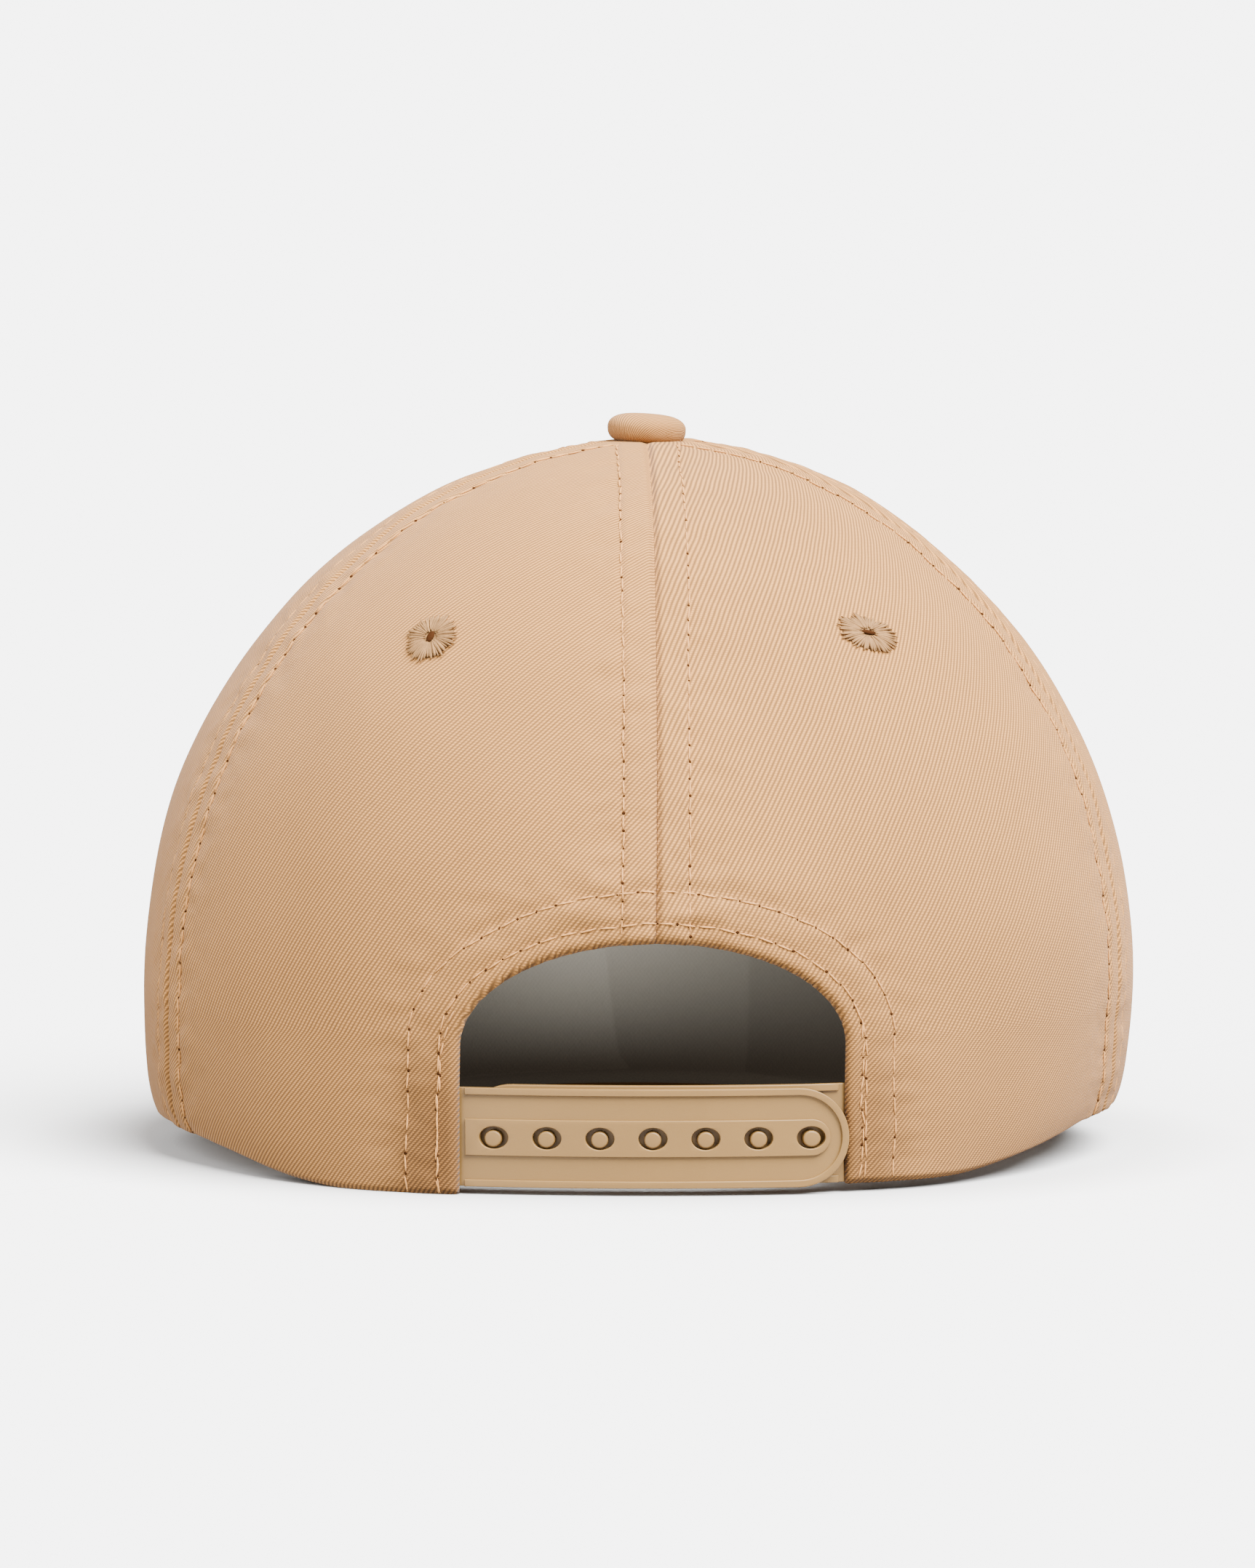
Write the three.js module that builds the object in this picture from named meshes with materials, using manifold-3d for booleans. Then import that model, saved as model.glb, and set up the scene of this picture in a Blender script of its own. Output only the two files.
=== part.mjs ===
// A five-panel baseball cap with a snap strap, in millimetres, +Z up.
// The cap's back faces -Y, the visor points to +Y, and the cap stands on z = 0.
import * as THREE from "three";
import { mergeVertices } from "three/addons/utils/BufferGeometryUtils.js";
import Module from "manifold-3d";

const wasm = await Module();
wasm.setup();

// ---- Driving dimensions -------------------------------------------------------------------------

// Crown: half width, reach to the back and to the front of its centre, and heights above the table.
const CROWN_HALF_WIDTH = 98;
const CROWN_BACK_REACH = 95;
const CROWN_FRONT_REACH = 100;
const CROWN_TOP = 140;
const WIDEST_HEIGHT = 30;
const DOME_ROUNDNESS = 2.06;
const FRONT_ROUNDNESS = 2.3;
const FRONT_ROUNDING_START = 110;
const DOME_ARC_SHARE = 1.2;
const BACK_FLAT_DEPTH = 6.5;
const BACK_FLAT_SPREAD = 32;
const BACK_FLAT_TOP = 62;
const BACK_FLAT_FULL = 20;
const HEM_PULL = 3;
const HEM_PULL_HEIGHT = 5;
const HEM_PULL_START = 30;
const HEM_PULL_FULL = 60;
const HEM_PULL_FADE = 20;
const APEX_RADIUS = 3.5;
const PANELS = 5;

// Layers of the crown, from the outside inwards.
const CLOTH = 0.9;
const FIT = 0.3;
const BUCKRAM = 0.8;
const BUCKRAM_END_RADIUS = 20.8;
const TAPE = 0.6;
const TAPE_WIDTH = 16;
const SWEATBAND = 2;
const SWEATBAND_HEIGHT = 32;
const SWEATBAND_LIFT = 0.5;

// Rear arch: upright sides, then half an ellipse.
const ARCH_HALF_WIDTH = 36.8;
const ARCH_SPRING_HEIGHT = 28.5;
const ARCH_RISE = 20;
const FACING_WIDTH = 10;

// Rim: level at the back, rising past these azimuths (degrees from the back) to the visor's surface.
const RIM_RISE_START = 36;
const RIM_RISE_END = 86;

// Visor.
const VISOR_START = 118;
const VISOR_REACH = 72;
const VISOR_CURVE_RADIUS = 800;
const VISOR_SLOPE = 2.1;
const VISOR_CREASE_HEIGHT = 8.4;
const VISOR_TIP = 2;
const VISOR_CLOTH = 0.6;
const VISOR_BOARD = 1.8;
const VISOR_SIDE_BULGE = 16;
const VISOR_SIDE_LENGTH = 49;
const VISOR_FRONT_FLATNESS = 62;

// Button and rivet.
const BUTTON_RADIUS = 7.8;
const BUTTON_HEIGHT = 5.9;
const BUTTON_FOOT = 0.8;
const BUTTON_WAIST_HEIGHT = 1.4;
const BUTTON_SIDE_BULGE = 0.6;
const BUTTON_TOP_FLATNESS = 1.2;
const RIVET_SHANK_RADIUS = 1.6;
const RIVET_PLATE_RADIUS = 6.5;
const RIVET_PLATE = 1;

// Embroidered eyelets.
const EYELET_DROP = 34;
const EYELET_RADIUS = 5.2;
const EYELET_COLLAR_RADIUS = 2.6;
const EYELET_HOLE_RADIUS = 1.3;
const EYELET_PROUD = 0.8;
const EYELET_EDGE = 0.4;
const EYELET_SHOULDER = 1.2;
const EYELET_LIP = 0.6;
const EYELET_SIDES = 14;

// Snap straps.
const STRAP_BOTTOM = 1.5;
const STRAP_HEIGHT = 19;
const STRAP_WEB = 1;
const STRAP_RIDGE = 0.6;
const STRAP_RIM_WIDTH = 1.35;
const STRAP_RIB_HEIGHT = 7;
const STRAP_PLAIN_LENGTH = 1.2;
const STRAP_ROOT_LENGTH = 15;
const STRAP_BOW = 4;
const STRAP_END_OVERLAP = 0.5;
const SNAP_COUNT = 7;
const SNAP_PITCH = 10;
const SNAP_HOLE_WIDTH = 5.5;
const SNAP_HOLE_HEIGHT = 4.3;
const PEG_RADIUS = 1.6;
const PEG_RECESS = 0.2;
const PEG_SETTLE = 0.25;
const PEG_STRAP_LIFT = 0.5;
const PEG_STRAP_TUCK_LENGTH = 6;

// Depths, below the crown's outer surface, of what is sewn inside it.
const LINING_DEPTH = CLOTH + FIT;
const BAND_DEPTH = LINING_DEPTH + STRAP_WEB + FIT;

// ---- Materials ----------------------------------------------------------------------------------

const finish = (color, roughness, metalness = 0) =>
  new THREE.MeshStandardMaterial({ color, roughness, metalness });
const TWILL = () => finish(0xd3a984, 0.9);
const THREAD = () => finish(0xc9a27c, 0.7);
const STRAP_PLASTIC = () => finish(0xbe9d6c, 0.45);
const BUCKRAM_CLOTH = () => finish(0xcfc9bd, 0.95);
const LINING_TAPE = () => finish(0xc8a17d, 0.85);
const SWEATBAND_CLOTH = () => finish(0x4a4038, 0.9);
const BOARD_PLASTIC = () => finish(0xe6e2da, 0.6);
const RIVET_METAL = () => finish(0xb8b8b8, 0.4, 0.9);

// ---- Helpers ------------------------------------------------------------------------------------

const radians = THREE.MathUtils.degToRad;
const mix = THREE.MathUtils.lerp;
const ease = (from, to, x) => THREE.MathUtils.smoothstep(x, from, to);

// A block of unit size, cut into a grid, with each point moved to place(u, v, w), all from 0 to 1.
function bentBlock(uSteps, vSteps, place) {
  const geometry = new THREE.BoxGeometry(1, 1, 1, uSteps, vSteps, 1);
  const points = geometry.getAttribute("position");
  for (let i = 0; i < points.count; i += 1) {
    const [u, v, w] = [points.getX(i), points.getY(i), points.getZ(i)].map((t) => t + 0.5);
    const p = place(u, v, w);
    points.setXYZ(i, p.x, p.y, p.z);
  }
  return geometry;
}

function solid(geometry) {
  const bare = geometry.clone();
  bare.deleteAttribute("normal");
  bare.deleteAttribute("uv");
  const merged = mergeVertices(bare, 1e-4);
  return new wasm.Manifold(
    new wasm.Mesh({
      numProp: 3,
      vertProperties: new Float32Array(merged.getAttribute("position").array),
      triVerts: new Uint32Array(merged.index.array),
    }),
  );
}

function geometryOf(shape) {
  const mesh = shape.getMesh();
  const geometry = new THREE.BufferGeometry();
  geometry.setAttribute("position", new THREE.BufferAttribute(mesh.vertProperties, 3));
  geometry.setIndex(new THREE.BufferAttribute(mesh.triVerts, 1));
  geometry.computeVertexNormals();
  return geometry;
}

// An outline in x and z, made into a prism that runs along Y between two places.
function prismAlongY(outline, yFrom, yTo) {
  const geometry = new THREE.ExtrudeGeometry(outline, {
    depth: yTo - yFrom,
    bevelEnabled: false,
    curveSegments: 9,
  });
  geometry.rotateX(Math.PI / 2);
  geometry.translate(0, yTo, 0);
  return solid(geometry);
}

// ---- Crown surface ------------------------------------------------------------------------------

// Height of the visor's upper surface over a place in plan.
function visorHeight(x, y) {
  const drop = VISOR_CURVE_RADIUS - Math.sqrt(VISOR_CURVE_RADIUS ** 2 - x * x);
  return VISOR_CREASE_HEIGHT - Math.tan(radians(VISOR_SLOPE)) * (y - CROWN_FRONT_REACH) - drop;
}

// Azimuth runs in degrees from the back, positive towards +X. All heights are above the table.
const fromBack = (azimuth) => Math.abs(((((azimuth + 180) % 360) + 360) % 360) - 180);

function widestPoint(azimuth) {
  const a = radians(azimuth);
  const reach = Math.cos(a) > 0 ? CROWN_BACK_REACH : CROWN_FRONT_REACH;
  return new THREE.Vector2(CROWN_HALF_WIDTH * Math.sin(a), -reach * Math.cos(a));
}

// The rim clears the visor's upper surface under every layer of the crown.
function rimHeight(azimuth) {
  const p = widestPoint(azimuth);
  p.setLength(p.length() - BAND_DEPTH);
  const share = ease(RIM_RISE_START, RIM_RISE_END, fromBack(azimuth));
  return share * (visorHeight(p.x, p.y) + FIT);
}

// How far the sweatband draws the hem in, at a height above the rim.
function hemPull(azimuth, aboveRim) {
  const off = fromBack(azimuth);
  const start = ease(HEM_PULL_START, HEM_PULL_FULL, off);
  const end = 1 - ease(VISOR_START - HEM_PULL_FADE, VISOR_START, off);
  return HEM_PULL * start * end * Math.exp(-aboveRim / HEM_PULL_HEIGHT);
}

// Outer surface. v runs from the rim at 0 to the edge of the apex hole at 1.
function crownOuter(azimuth, v) {
  const wide = widestPoint(azimuth);
  const rim = rimHeight(azimuth);
  const domeHeight = CROWN_TOP - WIDEST_HEIGHT;
  const hemShare = WIDEST_HEIGHT / (WIDEST_HEIGHT + DOME_ARC_SHARE * domeHeight);
  const towardsFront = ease(FRONT_ROUNDING_START, 180, fromBack(azimuth));
  const roundness = mix(DOME_ROUNDNESS, FRONT_ROUNDNESS, towardsFront);
  let scale = 1;
  let z = mix(rim, WIDEST_HEIGHT, v / hemShare);
  if (v > hemShare) {
    const climb = (v - hemShare) / (1 - hemShare);
    const smallest = APEX_RADIUS / CROWN_HALF_WIDTH;
    const top = Math.acos(smallest ** (roundness / 2));
    scale = Math.cos(climb * top) ** (2 / roundness);
    z = WIDEST_HEIGHT + domeHeight * Math.sin(climb * top) ** (2 / roundness);
  }
  const pull = hemPull(azimuth, z - rim) / wide.length();
  const x = wide.x * (scale - pull);
  let y = wide.y * (scale - pull);
  if (Math.cos(radians(azimuth)) > 0) {
    const fade = 1 - ease(BACK_FLAT_FULL, BACK_FLAT_TOP, z);
    y += BACK_FLAT_DEPTH * Math.exp(-((x / BACK_FLAT_SPREAD) ** 2)) * fade;
  }
  return new THREE.Vector3(x, y, z);
}

// A point at some depth inside the outer surface, measured square to it.
function crownPoint(azimuth, v, depth) {
  const step = 1e-3;
  const low = Math.max(v - step, 0);
  const high = Math.min(v + step, 1);
  const across = crownOuter(azimuth + step, v).sub(crownOuter(azimuth - step, v));
  const up = crownOuter(azimuth, high).sub(crownOuter(azimuth, low));
  const outward = across.cross(up).normalize();
  return crownOuter(azimuth, v).addScaledVector(outward, -depth);
}

// Distance of the outer surface from the crown's upright axis.
function crownRadius(azimuth, v) {
  const p = crownOuter(azimuth, v);
  return Math.hypot(p.x, p.y);
}

// The place between low and high at which a test turns from true to false, found by halving.
function turningPoint(from, to, isBefore) {
  let [low, high] = [from, to];
  for (let i = 0; i < 40; i += 1) {
    const middle = (low + high) / 2;
    if (isBefore(middle)) low = middle;
    else high = middle;
  }
  return (low + high) / 2;
}

// The v at which the outer surface reaches a height, or closes in to a radius.
const vAtHeight = (azimuth, height) => turningPoint(0, 1, (v) => crownOuter(azimuth, v).z < height);
const vAtRadius = (azimuth, radius) => turningPoint(0.2, 1, (v) => crownRadius(azimuth, v) > radius);

// The azimuth, in the back half, at which a layer of the crown stands at a given x at a given height.
function azimuthAtX(x, height, depth = 0) {
  const short = (azimuth) => crownPoint(azimuth, vAtHeight(azimuth, height), depth).x < Math.abs(x);
  return Math.sign(x) * turningPoint(0, 90, short);
}

// Rows stand closer together towards the rim, and every layer of the crown uses the same rows and steps.
// A larger crown has more of them, so the layers' facets stay clear of each other at any size.
const ROW_SPACING = 9.4;
const STEP_SPACING = 8.2;
const ROWS = Math.ceil(CROWN_TOP / ROW_SPACING);
const ROW_GATHERING = 1.25;
const PANEL_STEPS = Math.ceil(CROWN_HALF_WIDTH / STEP_SPACING);
const rowAt = (t) => t ** ROW_GATHERING;
const rowOf = (v) => v ** (1 / ROW_GATHERING);

// ---- Crown pieces -------------------------------------------------------------------------------

const PANEL_ANGLE = 360 / PANELS;
const degreesFor = (length, radius) => THREE.MathUtils.radToDeg(length / radius);

// A sewn sheet between two azimuths that lies between two depths and stops short of its neighbours.
function crownSheet(from, to, steps, depth, thickness, trim = FIT / 2) {
  return bentBlock(steps, ROWS, (u, row, w) => {
    const v = rowAt(row);
    const gap = degreesFor(trim, crownRadius(from, v));
    return crownPoint(mix(from + gap, to - gap, u), v, depth + thickness * (1 - w));
  });
}

// How far a cutter reaches past what it cuts.
const CUTTER_CLEARANCE = 20;
const BEHIND_CAP = -CROWN_BACK_REACH - CUTTER_CLEARANCE;

function archOutline(grow) {
  const half = ARCH_HALF_WIDTH + grow;
  const outline = new THREE.Shape();
  outline.moveTo(-half, -CUTTER_CLEARANCE);
  outline.lineTo(half, -CUTTER_CLEARANCE);
  outline.lineTo(half, ARCH_SPRING_HEIGHT);
  outline.absellipse(0, ARCH_SPRING_HEIGHT, half, ARCH_RISE + grow, 0, Math.PI, false);
  return outline;
}

const archPrism = (grow) => prismAlongY(archOutline(grow), BEHIND_CAP, 0);

function eyeletPlace(azimuth) {
  const v = vAtHeight(azimuth, CROWN_TOP - EYELET_DROP);
  const on = crownPoint(azimuth, v, 0);
  const outward = on.clone().sub(crownPoint(azimuth, v, 1)).normalize();
  return { on, outward };
}

function standOnCrown(geometry, azimuth) {
  const { on, outward } = eyeletPlace(azimuth);
  const up = new THREE.Vector3(0, 1, 0);
  geometry.applyQuaternion(new THREE.Quaternion().setFromUnitVectors(up, outward));
  geometry.translate(on.x, on.y, on.z);
  return geometry;
}

function panel(middle, { eyelet = false, arch = false } = {}) {
  const geometry = crownSheet(middle - PANEL_ANGLE / 2, middle + PANEL_ANGLE / 2, PANEL_STEPS, 0, CLOTH);
  if (!eyelet && !arch) return geometry;
  let shape = solid(geometry);
  if (eyelet) {
    const radius = EYELET_COLLAR_RADIUS + FIT;
    const punch = new THREE.CylinderGeometry(radius, radius, CUTTER_CLEARANCE / 2, EYELET_SIDES);
    shape = shape.subtract(solid(standOnCrown(punch, middle)));
  }
  if (arch) shape = shape.subtract(archPrism(0));
  return geometryOf(shape);
}

function eyelet(azimuth) {
  const underside = FIT;
  const top = underside + EYELET_PROUD;
  const profile = [
    [EYELET_HOLE_RADIUS, -CLOTH - FIT],
    [EYELET_COLLAR_RADIUS, -CLOTH - FIT],
    [EYELET_COLLAR_RADIUS, underside],
    [EYELET_RADIUS, underside],
    [EYELET_RADIUS - EYELET_EDGE, top - EYELET_EDGE / 2],
    [EYELET_RADIUS - EYELET_SHOULDER, top],
    [EYELET_HOLE_RADIUS + EYELET_LIP, top],
    [EYELET_HOLE_RADIUS, top - EYELET_LIP],
    [EYELET_HOLE_RADIUS, -CLOTH - FIT],
  ];
  const points = profile.map(([r, h]) => new THREE.Vector2(r, h));
  const ring = new THREE.LatheGeometry(points, EYELET_SIDES);
  return standOnCrown(ring, azimuth);
}

// Half the angle that a seam tape spans at v: its width, mitred against the next tape near the apex.
function tapeHalfAngle(seam, v) {
  const radius = crownRadius(seam, v) - LINING_DEPTH;
  const mitre = PANEL_ANGLE / 2 - degreesFor(FIT, radius);
  return Math.min(degreesFor(TAPE_WIDTH / 2, radius), mitre);
}

function seamTape(seam) {
  return bentBlock(4, ROWS, (u, row, w) => {
    const v = rowAt(row);
    const azimuth = seam + (2 * u - 1) * tapeHalfAngle(seam, v);
    return crownPoint(azimuth, v, LINING_DEPTH + TAPE * (1 - w));
  });
}

const backSeamTape = () => geometryOf(solid(seamTape(0)).subtract(archPrism(FACING_WIDTH + FIT)));

// The buckram fills the front panel between the two seam tapes that border it, and ends near the apex.
function buckram() {
  const seam = 180 - PANEL_ANGLE / 2;
  const rowsUsed = Math.floor(ROWS * rowOf(vAtRadius(seam, BUCKRAM_END_RADIUS)));
  return bentBlock(PANEL_STEPS, rowsUsed, (u, t, w) => {
    const v = rowAt((t * rowsUsed) / ROWS);
    const gap = tapeHalfAngle(seam, v) + degreesFor(2 * FIT, crownRadius(seam, v));
    const span = PANEL_ANGLE / 2 - gap;
    return crownPoint(180 + (2 * u - 1) * span, v, LINING_DEPTH + BUCKRAM * (1 - w));
  });
}

// The facing has the back panels' own steps, so its facets stay parallel with theirs at any size.
function archFacing() {
  const sheet = crownSheet(-PANEL_ANGLE, PANEL_ANGLE, 2 * PANEL_STEPS, LINING_DEPTH, TAPE);
  const strapTop = STRAP_BOTTOM + STRAP_HEIGHT + PEG_STRAP_LIFT + FIT;
  const belowStrapTop = new THREE.BoxGeometry(4 * CROWN_HALF_WIDTH, 4 * CROWN_HALF_WIDTH, 2 * strapTop);
  const tape = solid(sheet).intersect(archPrism(FACING_WIDTH)).subtract(archPrism(FIT));
  return geometryOf(tape.subtract(solid(belowStrapTop)));
}

function sweatband() {
  const start = azimuthAtX(ARCH_HALF_WIDTH + FACING_WIDTH / 2, 0);
  return bentBlock(44, 3, (u, t, w) => {
    const azimuth = mix(start, 360 - start, u);
    const height = rimHeight(azimuth) + SWEATBAND_LIFT + SWEATBAND_HEIGHT * t;
    return crownPoint(azimuth, vAtHeight(azimuth, height), BAND_DEPTH + SWEATBAND * (1 - w));
  });
}

// ---- Visor --------------------------------------------------------------------------------------

// Outer edge in plan, from one end of the visor to the other, as two mirrored curves.
function visorEdge(t) {
  const end = crownOuter(VISOR_START, 0);
  const foot = new THREE.Vector2(end.x, end.y).setLength(Math.hypot(end.x, end.y) + VISOR_TIP);
  const front = CROWN_FRONT_REACH + VISOR_REACH;
  const half = new THREE.CubicBezierCurve(
    foot,
    new THREE.Vector2(foot.x + VISOR_SIDE_BULGE, foot.y + VISOR_SIDE_LENGTH),
    new THREE.Vector2(VISOR_FRONT_FLATNESS, front),
    new THREE.Vector2(0, front),
  );
  const p = half.getPoint(1 - Math.abs(t));
  return new THREE.Vector2(Math.sign(t) * p.x, p.y);
}

// One layer of the visor, between two depths below its upper surface.
function visorLayer(depth, thickness, trim) {
  return bentBlock(28, 5, (u, s, w) => {
    const t = 2 * u - 1;
    const azimuth = 180 - t * (180 - VISOR_START);
    const inner = crownPoint(azimuth, 0, BAND_DEPTH - FIT);
    const outer = visorEdge(t);
    const reach = new THREE.Vector2(outer.x - inner.x, outer.y - inner.y);
    const along = mix(0, 1 - trim / reach.length(), s);
    const x = inner.x + reach.x * along;
    const y = inner.y + reach.y * along;
    return new THREE.Vector3(x, y, visorHeight(x, y) - depth - thickness * (1 - w));
  });
}

const BOARD_DEPTH = VISOR_CLOTH + FIT;
const LOWER_DEPTH = BOARD_DEPTH + VISOR_BOARD + FIT;

// ---- Button -------------------------------------------------------------------------------------

function buttonCover() {
  const seat = CROWN_TOP + FIT;
  const profile = [new THREE.Vector2(0, seat), new THREE.Vector2(BUTTON_RADIUS - BUTTON_FOOT, seat)];
  const arcs = 5;
  for (let i = 0; i <= arcs; i += 1) {
    const a = (i / arcs) * (Math.PI / 2);
    const r = BUTTON_RADIUS * Math.cos(a) ** BUTTON_SIDE_BULGE;
    const h = mix(BUTTON_WAIST_HEIGHT, BUTTON_HEIGHT, Math.sin(a) ** BUTTON_TOP_FLATNESS);
    profile.push(new THREE.Vector2(i === arcs ? 0 : r, seat + h));
  }
  return new THREE.LatheGeometry(profile, 20).rotateX(Math.PI / 2);
}

function buttonRivet() {
  const under = CROWN_TOP - LINING_DEPTH - TAPE - 2 * FIT;
  const profile = [
    [0, under - RIVET_PLATE],
    [RIVET_PLATE_RADIUS, under - RIVET_PLATE],
    [RIVET_PLATE_RADIUS, under],
    [RIVET_SHANK_RADIUS, under],
    [RIVET_SHANK_RADIUS, CROWN_TOP],
    [0, CROWN_TOP],
  ];
  const points = profile.map(([r, h]) => new THREE.Vector2(r, h));
  return new THREE.LatheGeometry(points, 14).rotateX(Math.PI / 2);
}

// ---- Snap straps --------------------------------------------------------------------------------

const STRAP_MIDDLE = STRAP_BOTTOM + STRAP_HEIGHT / 2;
const FLEX_X = ARCH_HALF_WIDTH - FIT;

// Y of a layer of the crown beside the arch, halfway up the straps.
function yBesideArch(depth) {
  const azimuth = azimuthAtX(FLEX_X, STRAP_MIDDLE, depth);
  return crownPoint(azimuth, vAtHeight(azimuth, STRAP_MIDDLE), depth).y;
}

const ROOT_INNER_Y = yBesideArch(LINING_DEPTH + STRAP_WEB);
const OUTSIDE_Y = yBesideArch(-FIT);
const ROOT_OUTER_Y = yBesideArch(LINING_DEPTH);

// Inner face of the hole strap: from under the tab at -X, bowed out, to outside the tab at +X.
function holeStrapInner(x) {
  const t = (x + FLEX_X) / (2 * FLEX_X);
  return mix(ROOT_INNER_Y, OUTSIDE_Y, t) - STRAP_BOW * 4 * t * (1 - t);
}

// Outer face of the peg strap's web: beside the hole strap, then in under the tab at +X.
function pegStrapOuter(x) {
  const apart = STRAP_RIDGE + FIT;
  const tuck = ROOT_OUTER_Y - OUTSIDE_Y - apart;
  return holeStrapInner(x) + apart + tuck * ease(FLEX_X - PEG_STRAP_TUCK_LENGTH, FLEX_X, x);
}

// The plan of a strap layer between two offsets from a face, as a solid of the straps' full height.
function strapBand(face, offsetA, offsetB, xFrom, xTo, bottom) {
  const steps = 12;
  const outline = new THREE.Shape();
  for (let i = 0; i <= steps; i += 1) {
    const x = mix(xFrom, xTo, i / steps);
    if (i === 0) outline.moveTo(x, face(x) + offsetA);
    else outline.lineTo(x, face(x) + offsetA);
  }
  for (let i = steps; i >= 0; i -= 1) {
    const x = mix(xFrom, xTo, i / steps);
    outline.lineTo(x, face(x) + offsetB);
  }
  const geometry = new THREE.ExtrudeGeometry(outline, { depth: STRAP_HEIGHT, bevelEnabled: false });
  return solid(geometry.translate(0, 0, bottom));
}

// A strip in x and z with a square end at one x and a round end at the other.
function roundEnded(xSquare, xRound, middle, height) {
  const radius = height / 2;
  const side = Math.sign(xRound - xSquare);
  const outline = new THREE.Shape();
  outline.moveTo(xSquare, middle - radius);
  outline.lineTo(xRound - side * radius, middle - radius);
  outline.absarc(xRound - side * radius, middle, radius, -Math.PI / 2, Math.PI / 2, side < 0);
  outline.lineTo(xSquare, middle + radius);
  outline.closePath();
  return prismAlongY(outline, BEHIND_CAP, -CROWN_BACK_REACH / 2);
}

// Rims along both edges and round the end, and a rib along the middle, as one cutter.
function ridges(xStart, xEnd, middle) {
  const side = Math.sign(xEnd - xStart);
  const inset = STRAP_RIM_WIDTH;
  const whole = roundEnded(xStart, xEnd, middle, STRAP_HEIGHT);
  const inside = roundEnded(xStart - side, xEnd - side * inset, middle, STRAP_HEIGHT - 2 * inset);
  const ribEnd = xEnd - side * (STRAP_HEIGHT / 2 - inset - STRAP_RIB_HEIGHT / 2);
  const rib = roundEnded(xStart, ribEnd, middle, STRAP_RIB_HEIGHT);
  return { rims: whole.subtract(inside), rib };
}

const SNAPS = Array.from({ length: SNAP_COUNT }, (_, i) => (i - (SNAP_COUNT - 1) / 2) * SNAP_PITCH);

function holeStrap() {
  const start = -FLEX_X + FIT / 2;
  const end = ARCH_HALF_WIDTH + STRAP_END_OVERLAP;
  const band = (a, b) => strapBand(holeStrapInner, a, b, start, end, STRAP_BOTTOM);
  const { rims, rib } = ridges(start + STRAP_PLAIN_LENGTH, end, STRAP_MIDDLE);
  const raised = band(-STRAP_WEB - STRAP_RIDGE, -STRAP_WEB / 2).intersect(rims.add(rib));
  let strap = band(-STRAP_WEB, 0).intersect(roundEnded(start, end, STRAP_MIDDLE, STRAP_HEIGHT)).add(raised);
  for (const x of SNAPS) {
    const oval = new THREE.Shape();
    oval.absellipse(x, STRAP_MIDDLE, SNAP_HOLE_WIDTH / 2, SNAP_HOLE_HEIGHT / 2, 0, 2 * Math.PI, false);
    strap = strap.subtract(prismAlongY(oval, BEHIND_CAP, -CROWN_BACK_REACH / 2));
  }
  return geometryOf(strap);
}

function pegStrap() {
  const start = FLEX_X - FIT / 2;
  const end = -start;
  const middle = STRAP_MIDDLE + PEG_STRAP_LIFT;
  const bottom = STRAP_BOTTOM + PEG_STRAP_LIFT;
  const band = (a, b) => strapBand(pegStrapOuter, a, b, end, start, bottom);
  const { rims } = ridges(start - STRAP_PLAIN_LENGTH, end, middle);
  const raised = band(-STRAP_RIDGE, STRAP_WEB / 2).intersect(rims);
  let strap = band(0, STRAP_WEB).intersect(roundEnded(start, end, middle, STRAP_HEIGHT)).add(raised);
  for (const x of SNAPS) {
    const tip = holeStrapInner(x) - STRAP_WEB - STRAP_RIDGE + PEG_RECESS;
    const root = pegStrapOuter(x) + STRAP_WEB / 2;
    const peg = new THREE.CylinderGeometry(PEG_RADIUS, PEG_RADIUS, root - tip, 12);
    strap = strap.add(solid(peg.translate(x, (root + tip) / 2, STRAP_MIDDLE - PEG_SETTLE)));
  }
  return geometryOf(strap);
}

// The sewn root of a strap, under a tab beside the arch: side is -1 or 1 along X.
function strapRoot(side, bottom) {
  const flexEnd = side * (FLEX_X + FIT / 2);
  const sewnEnd = flexEnd + side * STRAP_ROOT_LENGTH;
  return bentBlock(6, 2, (u, t, w) => {
    const height = bottom + STRAP_HEIGHT * t;
    const depth = LINING_DEPTH + STRAP_WEB * (1 - w);
    const x = mix(Math.min(flexEnd, sewnEnd), Math.max(flexEnd, sewnEnd), u);
    const azimuth = azimuthAtX(x, height, depth);
    return crownPoint(azimuth, vAtHeight(azimuth, height), depth);
  });
}

// ---- Assembly -----------------------------------------------------------------------------------

const cap = new THREE.Group();

function addPiece(name, geometry, material) {
  const mesh = new THREE.Mesh(geometry, material);
  mesh.name = name;
  cap.add(mesh);
}

addPiece("front_panel", panel(180), TWILL());
addPiece("side_right_panel", panel(1.5 * PANEL_ANGLE, { eyelet: true }), TWILL());
addPiece("side_left_panel", panel(-1.5 * PANEL_ANGLE, { eyelet: true }), TWILL());
addPiece("back_right_panel", panel(PANEL_ANGLE / 2, { eyelet: true, arch: true }), TWILL());
addPiece("back_left_panel", panel(-PANEL_ANGLE / 2, { eyelet: true, arch: true }), TWILL());
addPiece("front_buckram", buckram(), BUCKRAM_CLOTH());
addPiece("seam_tape_back", backSeamTape(), LINING_TAPE());
addPiece("seam_tape_rear_right", seamTape(PANEL_ANGLE), LINING_TAPE());
addPiece("seam_tape_rear_left", seamTape(-PANEL_ANGLE), LINING_TAPE());
addPiece("seam_tape_front_right", seamTape(2 * PANEL_ANGLE), LINING_TAPE());
addPiece("seam_tape_front_left", seamTape(-2 * PANEL_ANGLE), LINING_TAPE());
addPiece("arch_facing", archFacing(), LINING_TAPE());
addPiece("sweatband", sweatband(), SWEATBAND_CLOTH());
addPiece("button_cover", buttonCover(), TWILL());
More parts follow.
